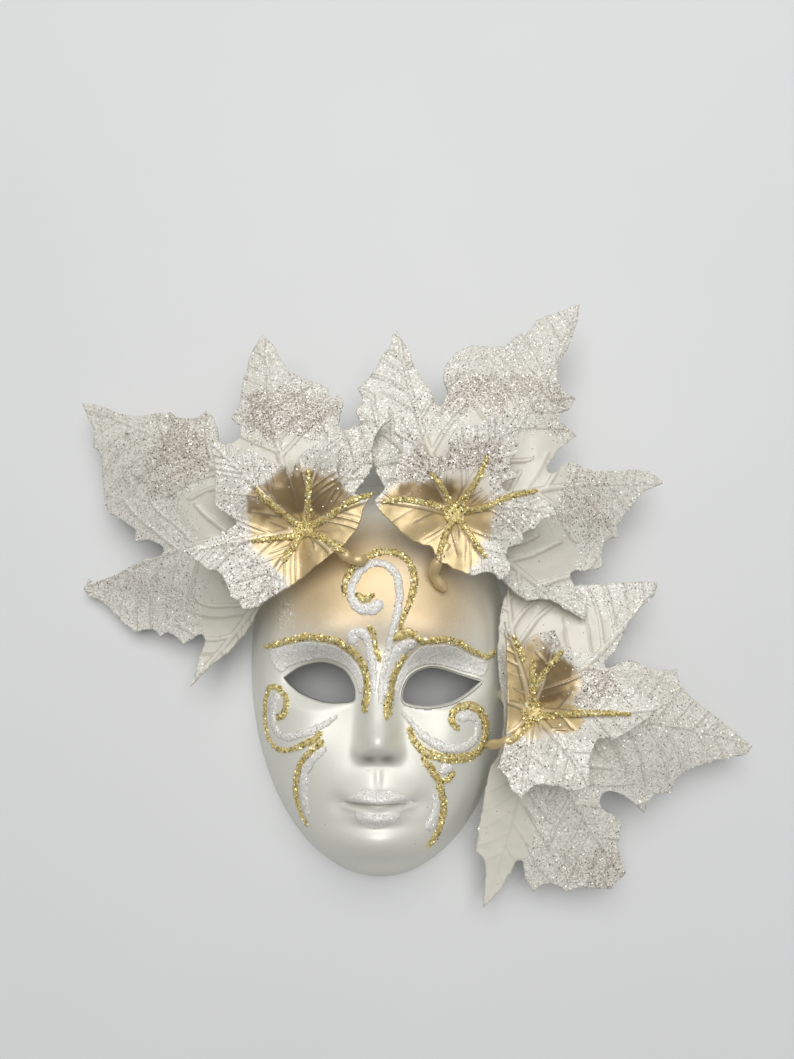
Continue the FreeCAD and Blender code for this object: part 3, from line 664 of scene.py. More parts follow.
def rib_lines(leaf):
    """Each main rib as points from the heart to near its lobe's tip, by way of its gold line."""
    heart = np.array(leaf["heart"][:2])
    lines = []
    for number, (bearing, reach, _, _) in enumerate(leaf["lobes"]):
        heading = math.radians(bearing)
        tip = 0.97 * reach * np.array([math.cos(heading), math.sin(heading)])
        sideways = np.array([-tip[1], tip[0]])
        middle = 0.5 * tip + 0.07 * sideways * (1 if number % 2 else -1)
        for dx, dy in leaf.get("gold", []):
            apart = math.atan2(dy, dx) - heading
            if math.cos(apart) > 0.86:
                middle = 0.75 * np.array([dx, dy], float)
        t = np.linspace(0, 1, 12)[:, None]
        lines.append(heart + 2 * t * (1 - t) * middle + t * t * tip)
    return lines


def nearest_rib(leaf, x, y):
    """Distance to the nearest rib, place along it, side, its length, the runner-up's lead, its number."""
    best = np.full(len(x), 1e9)
    second = np.full(len(x), 1e9)
    along = np.zeros(len(x))
    side = np.zeros(len(x))
    length = np.ones(len(x))
    number = np.zeros(len(x), int)
    for own_number, line in enumerate(rib_lines(leaf)):
        steps = np.diff(line, axis=0)
        spans = np.hypot(*steps.T)
        starts = np.concatenate([[0], np.cumsum(spans)])
        own = np.full(len(x), 1e9)
        own_along = np.zeros(len(x))
        own_side = np.zeros(len(x))
        for (ax, ay), (ux, uy), span, start in zip(line, steps / spans[:, None], spans, starts):
            place = np.clip((x - ax) * ux + (y - ay) * uy, 0, span)
            off_x = x - ax - place * ux
            off_y = y - ay - place * uy
            gap = np.hypot(off_x, off_y)
            nearer = gap < own
            own = np.where(nearer, gap, own)
            own_along = np.where(nearer, start + place, own_along)
            own_side = np.where(nearer, np.sign(ux * off_y - uy * off_x), own_side)
        closer = own < best
        second = np.where(closer, best, np.minimum(second, own))
        along = np.where(closer, own_along, along)
        side = np.where(closer, own_side, side)
        length = np.where(closer, starts[-1], length)
        number = np.where(closer, own_number, number)
        best = np.where(closer, own, best)
    return best, along, side, length, second - best, number


def leaf_veins(leaf, x, y):
    """Height of the ribs and side veins, zero to one."""
    pitch = leaf["pitch"]
    lean = leaf["lean"]
    gap, along, side, length, lead, rib_number = nearest_rib(leaf, x, y)
    share = np.clip(along / length, 0, 1)
    rib = np.exp(-(gap / (0.75 - 0.35 * share)) ** 2) * (1 - 0.55 * share)
    wander = 0.22 * grain(x, y, 9, 5)
    phase = (along - lean * gap + 0.02 * lean * gap ** 2) / pitch + 0.45 * (side > 0) + wander
    number = np.round(phase).astype(int)
    chances = np.random.default_rng(int(leaf["pitch"] * 10)).random((3, 997))
    strength, extent, shift = chances[:, (number * 7 + rib_number * 53 + (side > 0) * 29) % 997]
    off = np.abs(phase - number - 0.4 * (shift - 0.5)) * pitch / math.hypot(1, lean)
    end = (0.25 + 0.6 * extent) * length
    fade = ramp(lead, 0.1, 1.4) * (1 - ramp(gap, 0.6 * end, end)) * ramp(along, 0.4, 2.5)
    thin = leaf["vein_width"] * (1 - 0.4 * np.clip(gap / end, 0, 1))
    vein = np.exp(-(off / thin) ** 2) * fade * np.clip(1.7 * strength - leaf["sparse"], 0, 1)
    return np.maximum(rib, 0.7 * vein) * (1 - 0.9 * patches(leaf, "plain", x, y))


def leaf_relief(leaf, x, y):
    """Raised ribs and veins, and the slight waviness of formed leather."""
    veins = leaf_veins(leaf, x, y)
    waves = 0.22 * grain(x, y, 4.5, 21) + 0.07 * grain(x, y, 1.6, 22)
    return 1.05 * leaf["relief"] * veins + waves


def leaf_top(leaf):
    return lambda x, y: leaf_height(leaf, x, y) + leaf_relief(leaf, x, y)


def patches(leaf, key, x, y, ragged=0.12):
    """Soft-edged oval patches listed under that key: place about the heart, half width and height."""
    heart_x, heart_y = leaf["heart"][:2]
    ragged = ragged * (grain(x, y, 3.5, 31) + 0.6 * grain(x, y, 1.1, 32))
    total = np.zeros(np.shape(x))
    for dx, dy, half_width, half_height in leaf.get(key, []):
        reach = np.hypot((x - heart_x - dx) / half_width, (y - heart_y - dy) / half_height)
        total = np.maximum(total, 1 - ramp(reach + ragged, 0.8, 1.2))
    return total


def leaf_glitter(leaf, x, y):
    """Where glitter lies at all: beyond the heart's bare or gold zone."""
    along = leaf_place(leaf, x, y)[0]
    start, full = leaf["glitter_from"]
    ragged = along + 0.07 * grain(x, y, 5, 33) + 0.05 * grain(x, y, 1.4, 34)
    cover = ramp(ragged, start, full) * (1 - patches(leaf, "bare", x, y))
    return np.clip(cover * (1 - patches(leaf, "gold_wash", x, y)), 0, 1)


def leaf_belt(leaf, x, y):
    """Where the glitter lies thick and dark."""
    heart_x, heart_y = leaf["heart"][:2]
    ragged = 0.45 * (grain(x, y, 4, 35) + 0.6 * grain(x, y, 1.2, 36))
    total = np.zeros(np.shape(x))
    for dx, dy, half_width, half_height, strength in leaf["belts"]:
        reach = np.hypot((x - heart_x - dx) / half_width, (y - heart_y - dy) / half_height)
        total = np.maximum(total, strength * (1 - ramp(reach + ragged, 0.3, 1.6)))
    return leaf_glitter(leaf, x, y) * total


def leaf_cover(leaf, x, y):
    """Share of the flakes kept at each point."""
    return 0.012 + 0.33 * leaf_glitter(leaf, x, y) + 0.65 * leaf_belt(leaf, x, y)


def tube(points, radii):
    """Closed tube along points in space, with its radius at each point, wider than it is high."""
    heading = unit(np.gradient(points, axis=0))
    side = unit(np.cross(heading, [0.0, 0.0, 1.0]))
    up = np.cross(side, heading)
    rings = []
    for step in range(STALK_SIDES):
        turn = 2 * math.pi * step / STALK_SIDES
        rings.append(points + radii[:, None] * (math.cos(turn) * STALK_FLATNESS * side + math.sin(turn) * up))
    return np.stack(rings, 1).reshape(-1, 3), ring_faces(len(points), STALK_SIDES, flip=True)


def make_leaf(name, leaf, material, spacing):
    """A leaf with its marks and, on a small one, its stalk; also its outline."""
    heart_x, heart_y = leaf["heart"][:2]
    edge = [(heart_x + dx, heart_y + dy) for dx, dy in leaf["edge"]]
    outline = toothed(edge, spacing)
    wobble = unit(np.roll(outline, -1, 0) - np.roll(outline, 1, 0))[:, ::-1] * [1, -1]
    ragged = 0.2 * grain(*outline.T, 1.4, 51) + 0.12 * grain(*outline.T, 0.6, 52)
    outline = outline + wobble * ragged[:, None]
    top = leaf_top(leaf)

    def bottom(x, y):
        return leaf_height(leaf, x, y) + 0.5 * leaf_relief(leaf, x, y) - LEATHER

    points, faces, first_side = slab(outline, spacing, top, bottom)
    x, y = points.T[:2]
    upper = np.arange(len(points)) < len(points) // 2
    marks = {
        "glitter": leaf_glitter(leaf, x, y) * upper,
        "belt": leaf_belt(leaf, x, y) * upper,
        "wash": patches(leaf, "gold_wash", x, y) * upper,
        # painted shade: dark bronze patches where the cupped small leaves face away from the light
        "bronze": patches(leaf, "bronze", x, y, 0.3) * upper,
        "vein": leaf_veins(leaf, x, y) * upper,
    }
    if "stalk" in leaf:
        route = np.array([(heart_x + dx, heart_y + dy, sz) for dx, dy, sz in leaf["stalk"]])
        fine = spline(route, STALK_SPACING)
        share = np.linspace(0, 1, len(fine))
        radii = leaf["stalk_radius"] * (1.05 + 0.12 * np.sin(17 * share) - 0.25 * ramp(share, 0.85, 1))
        body, tube_faces = tube(fine, radii)
        first = len(points)
        points = np.vstack([points, body])
        faces = faces + [tuple(i + first for i in face) for face in tube_faces]
        marks = {key: np.concatenate([values, np.zeros(len(body))]) for key, values in marks.items()}
        marks["wash"][first:] = 1.0
    sides = slice(first_side, first_side + len(outline))
    return write_mesh(name, points, faces, material, sides, marks), outline


def ground_normals(ground, x, y):
    reach = 0.15
    slope_x = (ground(x + reach, y) - ground(x - reach, y)) / (2 * reach)
    slope_y = (ground(x, y + reach) - ground(x, y - reach)) / (2 * reach)
    return unit(np.column_stack([-slope_x, -slope_y, np.ones(len(x))]))


def scatter(outline, ground, amount, per_area, draw):
    """Random places on the ground inside an outline, kept in proportion to the amount there."""
    low = outline.min(0)
    high = outline.max(0)
    count = int(per_area * np.prod(high - low))
    places = low + draw.random((count, 2)) * (high - low)
    x, y = places.T
    kept = draw.random(count) < amount(x, y)
    places = places[kept]
    places = places[inside(places, outline)]
    x, y = places.T
    return np.column_stack([places, ground(x, y)]), ground_normals(ground, x, y)


def bead(name, widths, points, ground, raise_by, material, lumps):
    """Rounded line of glitter glue along points on the ground, with tapered round ends."""
    line = spline(points, LINE_SPACING)
    start, middle, end = widths
    heading = unit(np.gradient(line, axis=0))
    caps = np.array([1.0, 0.93, 0.75, 0.45])[:, None]
    line = np.vstack([line[0] - heading[0] * start * caps, line, line[-1] + heading[-1] * end * caps[::-1]])
    heading = np.vstack([heading[:1].repeat(4, 0), heading, heading[-1:].repeat(4, 0)])
    share = np.linspace(0, 1, len(line))
    half = middle + (start - middle) * (1 - ramp(share, 0, 0.3)) + (end - middle) * ramp(share, 0.7, 1)
    taper = np.ones(len(line))
    taper[:4] = np.sqrt(1 - caps[:, 0] ** 2)
    taper[-4:] = np.sqrt(1 - caps[::-1, 0] ** 2)
    sideways = np.column_stack([-heading[:, 1], heading[:, 0]])
    rings = []
    for step in range(LINE_SIDES):
        turn = 2 * math.pi * step / LINE_SIDES
        swell = 1 + lumps * grain(line[:, 0] + 3 * math.cos(turn), line[:, 1], 0.9, 61)
        place = line + sideways * (half * taper * swell * math.cos(turn))[:, None]
        x, y = place.T
        rise = math.sin(turn) * (raise_by if turn < math.pi else LINE_BELLY)
        clump = lumps * 0.5 * max(0.0, math.sin(turn)) * grain(x, y, 0.5, 62)
        rings.append(np.column_stack([place, ground(x, y) + rise * taper + clump * taper]))
    body = np.stack(rings, 1).reshape(-1, 3)
    piece = write_mesh(name, body, ring_faces(len(line), LINE_SIDES), material)
    return piece, line, half * taper, sideways


def bead_flakes(line, half, sideways, ground, raise_by, per_area, draw):
    """Places and normals of flakes over a rounded line."""
    area = float((2 * half).mean() * len(line) * LINE_SPACING)
    count = int(per_area * area)
    index = draw.integers(0, len(line), count)
    across = draw.uniform(-1.05, 1.05, count)
    place = line[index] + sideways[index] * (half[index] * across)[:, None]
    place = place + draw.normal(0, 0.12, place.shape)
    x, y = place.T
    crown = np.sqrt(np.clip(1 - across ** 2, 0, 1))
    normals = ground_normals(ground, x, y)
    normals[:, :2] += sideways[index] * (across * 0.8)[:, None]
    return np.column_stack([place, ground(x, y) + raise_by * crown + FLAKE_LIFT]), unit(normals)


# ---- materials ----

def new_material(name):
    material = bpy.data.materials.new(name)
    material.use_nodes = True
    return material, material.node_tree, material.node_tree.nodes["Principled BSDF"]


def add(tree, kind, links=None, **settings):
    """New node with settings; links gives each input a value or another node's output."""
    item = tree.nodes.new(kind)
    for key, value in settings.items():
        setattr(item, key, value)
    connect(tree, item, links or {})
    return item


def connect(tree, item, links):
    for key, value in links.items():
        if isinstance(value, bpy.types.NodeSocket):
            tree.links.new(value, item.inputs[key])
        else:
            item.inputs[key].default_value = value


def mix(tree, factor, first, second):
    """Colour between first and second."""
    item = add(tree, "ShaderNodeMix", {0: factor, 6: first, 7: second}, data_type="RGBA")
    return item.outputs[2]


def calc(tree, operation, first, second):
    item = add(tree, "ShaderNodeMath", {0: first, 1: second}, operation=operation)
    return item.outputs[0]


def scaled(tree, value, by, plus=0.0):
    item = add(tree, "ShaderNodeMath", {0: value, 1: by, 2: plus}, operation="MULTIPLY_ADD")
    return item.outputs[0]


def noise(tree, size, detail):
    """Noise with lumps of about that many millimetres."""
    place = add(tree, "ShaderNodeTexCoord").outputs["Object"]
    item = add(tree, "ShaderNodeTexNoise", {"Vector": place, "Scale": 1 / (size * MM),
                                            "Detail": detail, "Roughness": 0.55})
    return item.outputs[0]


def cells(tree, size):
    """Cell pattern of about that many millimetres."""
    place = add(tree, "ShaderNodeTexCoord").outputs["Object"]
    return add(tree, "ShaderNodeTexVoronoi", {"Vector": place, "Scale": 1 / (size * MM)})


def steps(tree, value, stops):
    """Colour ramp through (place, colour) stops."""
    item = add(tree, "ShaderNodeValToRGB", {0: value})
    elements = item.color_ramp.elements
    while len(elements) < len(stops):
        elements.new(1.0)
    for element, (place, colour) in zip(elements, stops):
        element.position = place
        element.color = (*colour, 1)
    return item.outputs[0]


def mark(tree, name):
    return add(tree, "ShaderNodeAttribute", attribute_name=name).outputs["Fac"]


def relief(tree, height, distance, strength, normal=None):
    links = {"Height": height, "Distance": distance * MM, "Strength": strength}
    if normal is not None:
        links["Normal"] = normal
    return add(tree, "ShaderNodeBump", links).outputs[0]


def spread(tree, value, low, high):
    """Value mapped from low..high to zero..one."""
    item = add(tree, "ShaderNodeMapRange", {0: value, 1: low, 2: high}, interpolation_type="SMOOTHSTEP")
    return item.outputs[0]


def split(tree, colour, channel):
    return add(tree, "ShaderNodeSeparateColor", {0: colour}).outputs[channel]


def pearl_material():
    """Pearly white paint with gold sprayed over the forehead."""
    material, tree, shader = new_material("pearl_paint")
    white = mix(tree, noise(tree, 14, 2), (0.77, 0.765, 0.69, 1), (0.84, 0.835, 0.755, 1))
    gold = mix(tree, noise(tree, 5, 4), (0.62, 0.46, 0.25, 1), (0.74, 0.58, 0.35, 1))
    mist = scaled(tree, noise(tree, 0.5, 2), 0.35, -0.17)
    wash = spread(tree, calc(tree, "ADD", mark(tree, "wash"), mist), 0.05, 0.95)
    colour = mix(tree, wash, white, gold)
    # painted shade: darker colour in the lip seam, at the mouth's corners and under the nose
    colour = mix(tree, mark(tree, "shade"), colour, (0.27, 0.26, 0.22, 1))
    dust = cells(tree, 4.2)
    fleck = calc(tree, "MULTIPLY", calc(tree, "LESS_THAN", dust.outputs["Distance"], 0.035),
                 calc(tree, "GREATER_THAN", noise(tree, 6, 0), 0.55))
    colour = mix(tree, fleck, colour, (0.3, 0.27, 0.22, 1))
    connect(tree, shader, {
        "Base Color": colour, "Metallic": scaled(tree, wash, 0.2, 0.16),
        "Roughness": scaled(tree, noise(tree, 3, 3), 0.1, 0.38),
        "Normal": relief(tree, noise(tree, 1.1, 4), 0.05, 0.5),
        "Coat Weight": 0.1, "Coat Roughness": 0.3})
    return material


def leaf_material(name, pale, deep):
    """Painted leather: satin cream, gold wash, fine glitter in glue, painted shadow beside the raised veins
    and a painted highlight along their tops.
    """
    material, tree, shader = new_material(name)
    wash = mark(tree, "wash")
    vein = mark(tree, "vein")
    belt = mark(tree, "belt")
    base = mix(tree, noise(tree, 7, 4), pale, deep)
    gold = mix(tree, noise(tree, 2.2, 4), (0.56, 0.42, 0.20, 1), (0.80, 0.62, 0.34, 1))
    # painted shade: the gold turned dark bronze where the cupped small leaves face away from the light
    gold = mix(tree, mark(tree, "bronze"), gold, (0.30, 0.21, 0.10, 1))
    colour = mix(tree, wash, base, gold)
    # painted shadow: darker colour on the flanks of each raised vein, stronger in the gold wash
    painted_vein_shadow = calc(tree, "MULTIPLY", spread(tree, vein, 0.02, 0.12), spread(tree, vein, 0.4, 0.15))
    depth = scaled(tree, wash, 0.5, 0.15)
    colour = mix(tree, calc(tree, "MULTIPLY", painted_vein_shadow, depth), colour, (0.26, 0.18, 0.09, 1))
    # painted highlight: paler colour along the tops of the veins, stronger in the gold wash
    ridge = calc(tree, "MULTIPLY", spread(tree, vein, 0.35, 0.8), scaled(tree, wash, 0.55, 0.15))
    colour = mix(tree, ridge, colour, (0.90, 0.78, 0.56, 1))
    tone = split(tree, cells(tree, 0.3).outputs["Color"], 0)
    mist = scaled(tree, noise(tree, 0.8, 3), 0.9, -0.45)
    ragged = spread(tree, calc(tree, "ADD", mark(tree, "glitter"), mist), 0.15, 0.75)
    white = steps(tree, tone, [
        (0.0, (0.36, 0.33, 0.29)), (0.06, (0.54, 0.52, 0.46)), (0.3, (0.68, 0.66, 0.58)),
        (0.75, (0.80, 0.78, 0.71)), (1.0, (1.0, 0.99, 0.94))])
    pink = steps(tree, tone, [
        (0.0, (0.15, 0.125, 0.10)), (0.2, (0.35, 0.305, 0.25)), (0.5, (0.57, 0.515, 0.44)),
        (0.8, (0.78, 0.72, 0.64)), (1.0, (0.98, 0.94, 0.86))])
    sparkle = mix(tree, spread(tree, calc(tree, "ADD", belt, mist), 0.15, 0.8), white, pink)
    colour = mix(tree, scaled(tree, ragged, 0.8), colour, sparkle)
    # more painted shadow on the vein flanks, laid over the glitter
    colour = mix(tree, scaled(tree, painted_vein_shadow, 0.28), colour, (0.33, 0.29, 0.23, 1))
    lumps = split(tree, cells(tree, 0.45).outputs["Color"], 1)
    hide = relief(tree, noise(tree, 0.45, 3), 0.05, 0.5)
    thick = scaled(tree, calc(tree, "MULTIPLY", ragged, lumps), 0.7)
    glitter = relief(tree, thick, 0.2, 0.7, hide)
    connect(tree, shader, {
        "Base Color": colour, "Metallic": scaled(tree, wash, 0.4),
        "Roughness": scaled(tree, noise(tree, 2.5, 3), 0.16, 0.28),
        "Normal": glitter, "Coat Weight": 0.2, "Coat Roughness": 0.2})
    return material


def glitter_material(name, stops, metal, rough):
    """Loose flakes, each with its own tone."""
    material, tree, shader = new_material(name)
    colour = steps(tree, mark(tree, "tone"), stops)
    connect(tree, shader, {"Base Color": colour, "Metallic": metal,
                           "Roughness": scaled(tree, noise(tree, 0.8, 2), 0.2, rough)})
    return material


def glue_material(name, low, high, fleck, metal):
    """Line of glue packed with fine glitter."""
    material, tree, shader = new_material(name)
    fine = cells(tree, 0.3)
    tone = split(tree, fine.outputs["Color"], 0)
    base = mix(tree, noise(tree, 1.0, 4), low, high)
    colour = mix(tree, spread(tree, tone, 0.72, 0.9), base, fleck)
    lumps = relief(tree, tone, 0.12, 0.8, relief(tree, noise(tree, 0.7, 3), 0.15, 0.7))
    connect(tree, shader, {"Base Color": colour, "Metallic": metal, "Normal": lumps,
                           "Roughness": scaled(tree, noise(tree, 0.6, 2), 0.25, 0.3)})
    return material


def hot_glue_material():
    """Yellowish, slightly cloudy hot glue."""
    material, tree, shader = new_material("hot_glue")
    colour = mix(tree, noise(tree, 2.5, 3), (0.70, 0.62, 0.45, 1), (0.82, 0.77, 0.64, 1))
    connect(tree, shader, {"Base Color": colour, "Normal": relief(tree, noise(tree, 1.5, 2), 0.2, 0.5),
                           "Roughness": scaled(tree, noise(tree, 2, 2), 0.2, 0.2),
                           "Subsurface Weight": 0.2, "Subsurface Scale": 0.002})
    return material


def floor_material():
    material, tree, shader = new_material("pale_table")
    colour = mix(tree, noise(tree, 90, 3), (0.69, 0.70, 0.695, 1), (0.72, 0.73, 0.725, 1))
    connect(tree, shader, {"Base Color": colour, "Roughness": scaled(tree, noise(tree, 30, 2), 0.1, 0.5)})
    return material


SILVER_STOPS = [(0.0, (0.09, 0.075, 0.06)), (0.12, (0.31, 0.27, 0.22)), (0.4, (0.64, 0.585, 0.51)),
                (0.7, (0.87, 0.83, 0.75)), (1.0, (1.0, 0.985, 0.93))]
GOLD_STOPS = [(0.0, (0.15, 0.10, 0.03)), (0.2, (0.42, 0.32, 0.10)), (0.5, (0.80, 0.66, 0.24)),
              (0.8, (1.0, 0.88, 0.44)), (1.0, (1.0, 0.98, 0.80))]
PEARL = pearl_material()
LARGE_LEATHER = leaf_material("large_leaf_leather", (0.74, 0.72, 0.63, 1), (0.66, 0.63, 0.54, 1))
SMALL_LEATHER = leaf_material("small_leaf_leather", (0.84, 0.79, 0.70, 1), (0.76, 0.71, 0.62, 1))
SILVER_FLAKES = glitter_material("silver_glitter_flakes", SILVER_STOPS, 0.3, 0.15)
GOLD_FLAKES = glitter_material("gold_glitter_flakes", GOLD_STOPS, 0.5, 0.15)
WHITE_GLUE = glue_material("white_glitter_glue", (0.84, 0.835, 0.79, 1), (0.93, 0.925, 0.885, 1),
                           (0.70, 0.685, 0.65, 1), 0.0)
GOLD_GLUE = glue_material("gold_glitter_glue", (0.54, 0.43, 0.15, 1), (0.82, 0.69, 0.31, 1),
                          (1.0, 0.92, 0.62, 1), 0.35)
HOT_GLUE = hot_glue_material()


# ---- camera, light and table ----

def aim(thing, target):
    heading = Vector(target) - thing.location
    thing.rotation_euler = heading.to_track_quat("-Z", "Y").to_euler()


def area_light(name, place, size, power):
    lamp = bpy.data.lights.new(name, "AREA")
    lamp.size = size
    lamp.energy = power
    thing = bpy.data.objects.new(name, lamp)
    thing.location = place
    aim(thing, (0, 0, 0))
    bpy.context.collection.objects.link(thing)


LENS = 27.2
CAMERA_PLACE = (0.0045, 0.009544, 0.224062)
CAMERA_TILT = 7.866
WINDOW_PLACE = (0.05, 0.42, 1.1)
WINDOW_SIZE = 1.1
WINDOW_POWER = 12.6
ROOM_LIGHT = [(0.0, 0.30), (0.3, 0.17), (0.75, 0.24), (1.0, 0.40)]
TABLE = 1500

scene = bpy.context.scene
camera_data = bpy.data.cameras.new("camera")
camera_data.lens = LENS
camera_data.sensor_width = 36
camera = bpy.data.objects.new("camera", camera_data)
camera.location = CAMERA_PLACE
camera.rotation_euler = (math.radians(CAMERA_TILT), 0, 0)
bpy.context.collection.objects.link(camera)
scene.camera = camera
scene.view_settings.view_transform = "Standard"

area_light("window", WINDOW_PLACE, WINDOW_SIZE, WINDOW_POWER)
world = bpy.data.worlds.new("room")
world.use_nodes = True
room = world.node_tree
upward = split(room, add(room, "ShaderNodeTexCoord").outputs["Generated"], 2)
room_light = steps(room, upward, [(place, (level, level, level)) for place, level in ROOM_LIGHT])
room.links.new(room_light, room.nodes["Background"].inputs[0])
scene.world = world

table_corners = [(-TABLE, -TABLE, 0), (TABLE, -TABLE, 0), (TABLE, TABLE, 0), (-TABLE, TABLE, 0)]
table_top = write_mesh("table_top", table_corners, [(0, 1, 2, 3)], floor_material())


# ---- face shell ----

def finish_piece(piece, slot, *nodes):
    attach(piece, "root")
    if nodes:
        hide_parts(*nodes)


def rim_ring(height):
    """Where a height function crosses the table's plane, one point for each direction."""
    turns = np.linspace(0, 2 * math.pi, RIM_POINTS, endpoint=False)
    near = np.full(RIM_POINTS, 0.80)
    far = np.full(RIM_POINTS, 1.10)
    stretch = np.where(np.sin(turns) > 0, CROWN_RISE, CHIN_DROP)
    for _ in range(40):
        middle = (near + far) / 2
        x = middle * HALF_WIDTH * np.cos(turns)
        y = WIDEST_Y + middle * stretch * np.sin(turns)
        above = height(x, y) > 0
        near = np.where(above, middle, near)
        far = np.where(above, far, middle)
    return np.column_stack([x, y])


def rim_crowding(grid):
    """Grid points drawn closer together where the dome's side is steep."""
    across = grid[:, 0] / HALF_WIDTH
    along = (grid[:, 1] - WIDEST_Y) / np.where(grid[:, 1] > WIDEST_Y, CROWN_RISE, CHIN_DROP)
    reach = np.maximum(np.hypot(across, along), 1e-6)
    pulled = np.where(reach > 0.8, 1 - 0.2 * np.clip((1 - reach) / 0.2, 0, 1) ** 1.8, reach)
    factor = np.where(reach < 1, pulled / reach, 1)[:, None]
    middle = np.array([0, WIDEST_Y])
    return middle + (grid - middle) * factor


def shrink(loop, distance):
    """Closed loop moved inwards (or outwards if negative)."""
    heading = unit(np.roll(loop, -1, 0) - np.roll(loop, 1, 0))
    normal = np.column_stack([-heading[:, 1], heading[:, 0]])
    area = (loop[:, 0] * np.roll(loop[:, 1], -1) - loop[:, 1] * np.roll(loop[:, 0], -1)).sum()
    return loop + normal * distance * np.sign(area)


def forehead_gold(x, y):
    """Share of sprayed gold."""
    gold = np.maximum(bump(x, y, -8, 25, 21, 15), 0.85 * bump(x, y, 11, 20, 14, 13)) ** 0.7
    return np.clip(np.maximum(gold, 0.45 * bump(x, y, 26, 20, 9, 16)), 0, 1)


def painted_shade(x, y):
    """Painted shade: darker colour in the lip seam, at the mouth's corners and under the nose."""
    seam = np.exp(-((y + 29.4) / 0.42) ** 2 - (x / 8.6) ** 8)
    corners = 0.12 * bump(np.abs(x), y, 10.5, -28, 3.5, 5)
    nostrils = 0.75 * bump(np.abs(x), y, 2.3, -18.6, 1.5, 1.2) + 0.45 * bump(x, y, 0, -18.2, 5.2, 1.9)
    return np.clip(0.8 * seam + nostrils + corners, 0, 1)


def make_shell():
    """The hollow face, its eye openings rounded over from the outer side."""
    eyes = []
    for lids in EYES.values():
        eyes.append(np.vstack([spline(lid, EYE_SPACING)[:-1] for lid in lids]))
    outer_rim = rim_ring(face_height)
    inner_rim = rim_ring(inside_height)
    outer_eyes = [shrink(eye, -EYE_ROUNDING) for eye in eyes]
    flat, top_faces, rings = patch([outer_rim, *outer_eyes], SHELL_GRID, rim_crowding)
    under_flat, under_faces, under_rings = patch([inner_rim, *eyes], SHELL_INSIDE_GRID, rim_crowding)
    x, y = flat.T
    points = [np.column_stack([flat, face_height(x, y)])]
    points[0][rings[0], 2] = 0
    x, y = under_flat.T
    points.append(np.column_stack([under_flat, inside_height(x, y)]))
    points[1][under_rings[0], 2] = 0
    first_under = len(flat)
    count = first_under + len(under_flat)
    faces = top_faces.tolist() + (under_faces[:, ::-1] + first_under).tolist()
    faces += wall([i + first_under for i in under_rings[0]], rings[0])
    for eye, ring, under_ring in zip(eyes, rings[1:], under_rings[1:]):
        previous = list(ring)
        for turn in (30, 60, 90):
            turned = math.radians(turn)
            place = shrink(eye, -EYE_ROUNDING * (1 - math.sin(turned)))
            height = face_height(*place.T) - EYE_ROUNDING * (1 - math.cos(turned))
            points.append(np.column_stack([place, height]))
            current = list(range(count, count + len(eye)))
            faces += wall(current, previous)
            previous = current
            count += len(eye)
        faces += wall([i + first_under for i in under_ring], previous)
    points = np.vstack(points)
    x, y = points.T[:2]
    outside = np.arange(len(points)) < first_under
    marks = {"wash": forehead_gold(x, y), "shade": painted_shade(x, y) * outside}
    shell = write_mesh("mask_shell", points, faces, PEARL, marks=marks)
    finish_piece(shell, "shell_pearl", "face_shell")


make_shell()

# ---- leaves ----
# pitch, lean, width and height of the side veins; glitter by share of each lobe's reach; patches
# as (dx, dy, half width, half height) about the heart, and for belts their strength; flake radius
# and number per square mm; sparse thins the side veins out
for leaf in (LARGE_LEFT, LARGE_RIGHT, LARGE_CHEEK):
    leaf.update(lean=0.95, vein_width=0.42, sparse=0.1, flakes=(0.2, 5.5))
for leaf in (SMALL_LEFT, SMALL_RIGHT, SMALL_CHEEK):
    leaf.update(sparse=0.5, flakes=(0.22, 6))
LARGE_LEFT.update(
    pitch=5.6, relief=0.62, glitter_from=(0.36, 0.5),
    bare=[(-17, -26, 11, 20), (-21, -8, 8, 7)],
    belts=[(-30, 20, 15, 10, 0.8), (-5, 28.5, 15, 7.5, 0.9), (14, 19, 6, 8, 0.4), (-46, -13, 14, 5, 0.35)])
LARGE_RIGHT.update(
    pitch=5.2, relief=0.6, glitter_from=(0.36, 0.48),
    bare=[(22, -10, 10, 8), (22, 12, 6, 10)],
    belts=[(10, 31, 18, 7, 0.75), (32, 3, 8, 9, 0.55), (24, 24, 6, 8, 0.4)])
LARGE_CHEEK.update(
    pitch=5.4, relief=0.62, glitter_from=(0.26, 0.42),
    bare=[(-9, -24, 9, 30), (0, 22, 13, 10), (14, 20, 8, 6)], plain=[(-10, -20, 10, 36)],
    belts=[(20, -42, 13, 7, 0.5), (27, 1, 12, 6, 0.3)])
# the small leaves' dark bronze patches are painted shade, where their cupped hearts face away from the light
SMALL_LEFT.update(
    pitch=2.3, lean=1.6, vein_width=0.2, relief=0.42, glitter_from=(0.26, 0.5),
    gold_wash=[(0, 2, 13, 13), (9, -2, 11, 10), (3, -9, 9, 8)], bronze=[(-5, 9, 9, 6), (6, 9, 6, 6)],
    belts=[(-9, -14, 9, 8, 0.45), (-11, 12, 9, 5, 0.35), (-15, 3, 6, 8, 0.35)],
    paths=[[(0, 0), (6, 2), (12, 6), (17.4, 7.7)], [(0.8, 0.5), (1.8, 5.6), (2, 12.8)],
           [(-0.8, 0.5), (-5.4, 4.1), (-10.5, 8.2)], [(-1.3, -1.5), (-6.4, -2.6), (-11.5, -3.3)],
           [(-0.8, -2), (-2.8, -5.6), (-4.4, -8.2)], [(1.2, -1), (5.9, -3), (10.5, -6.2)]])
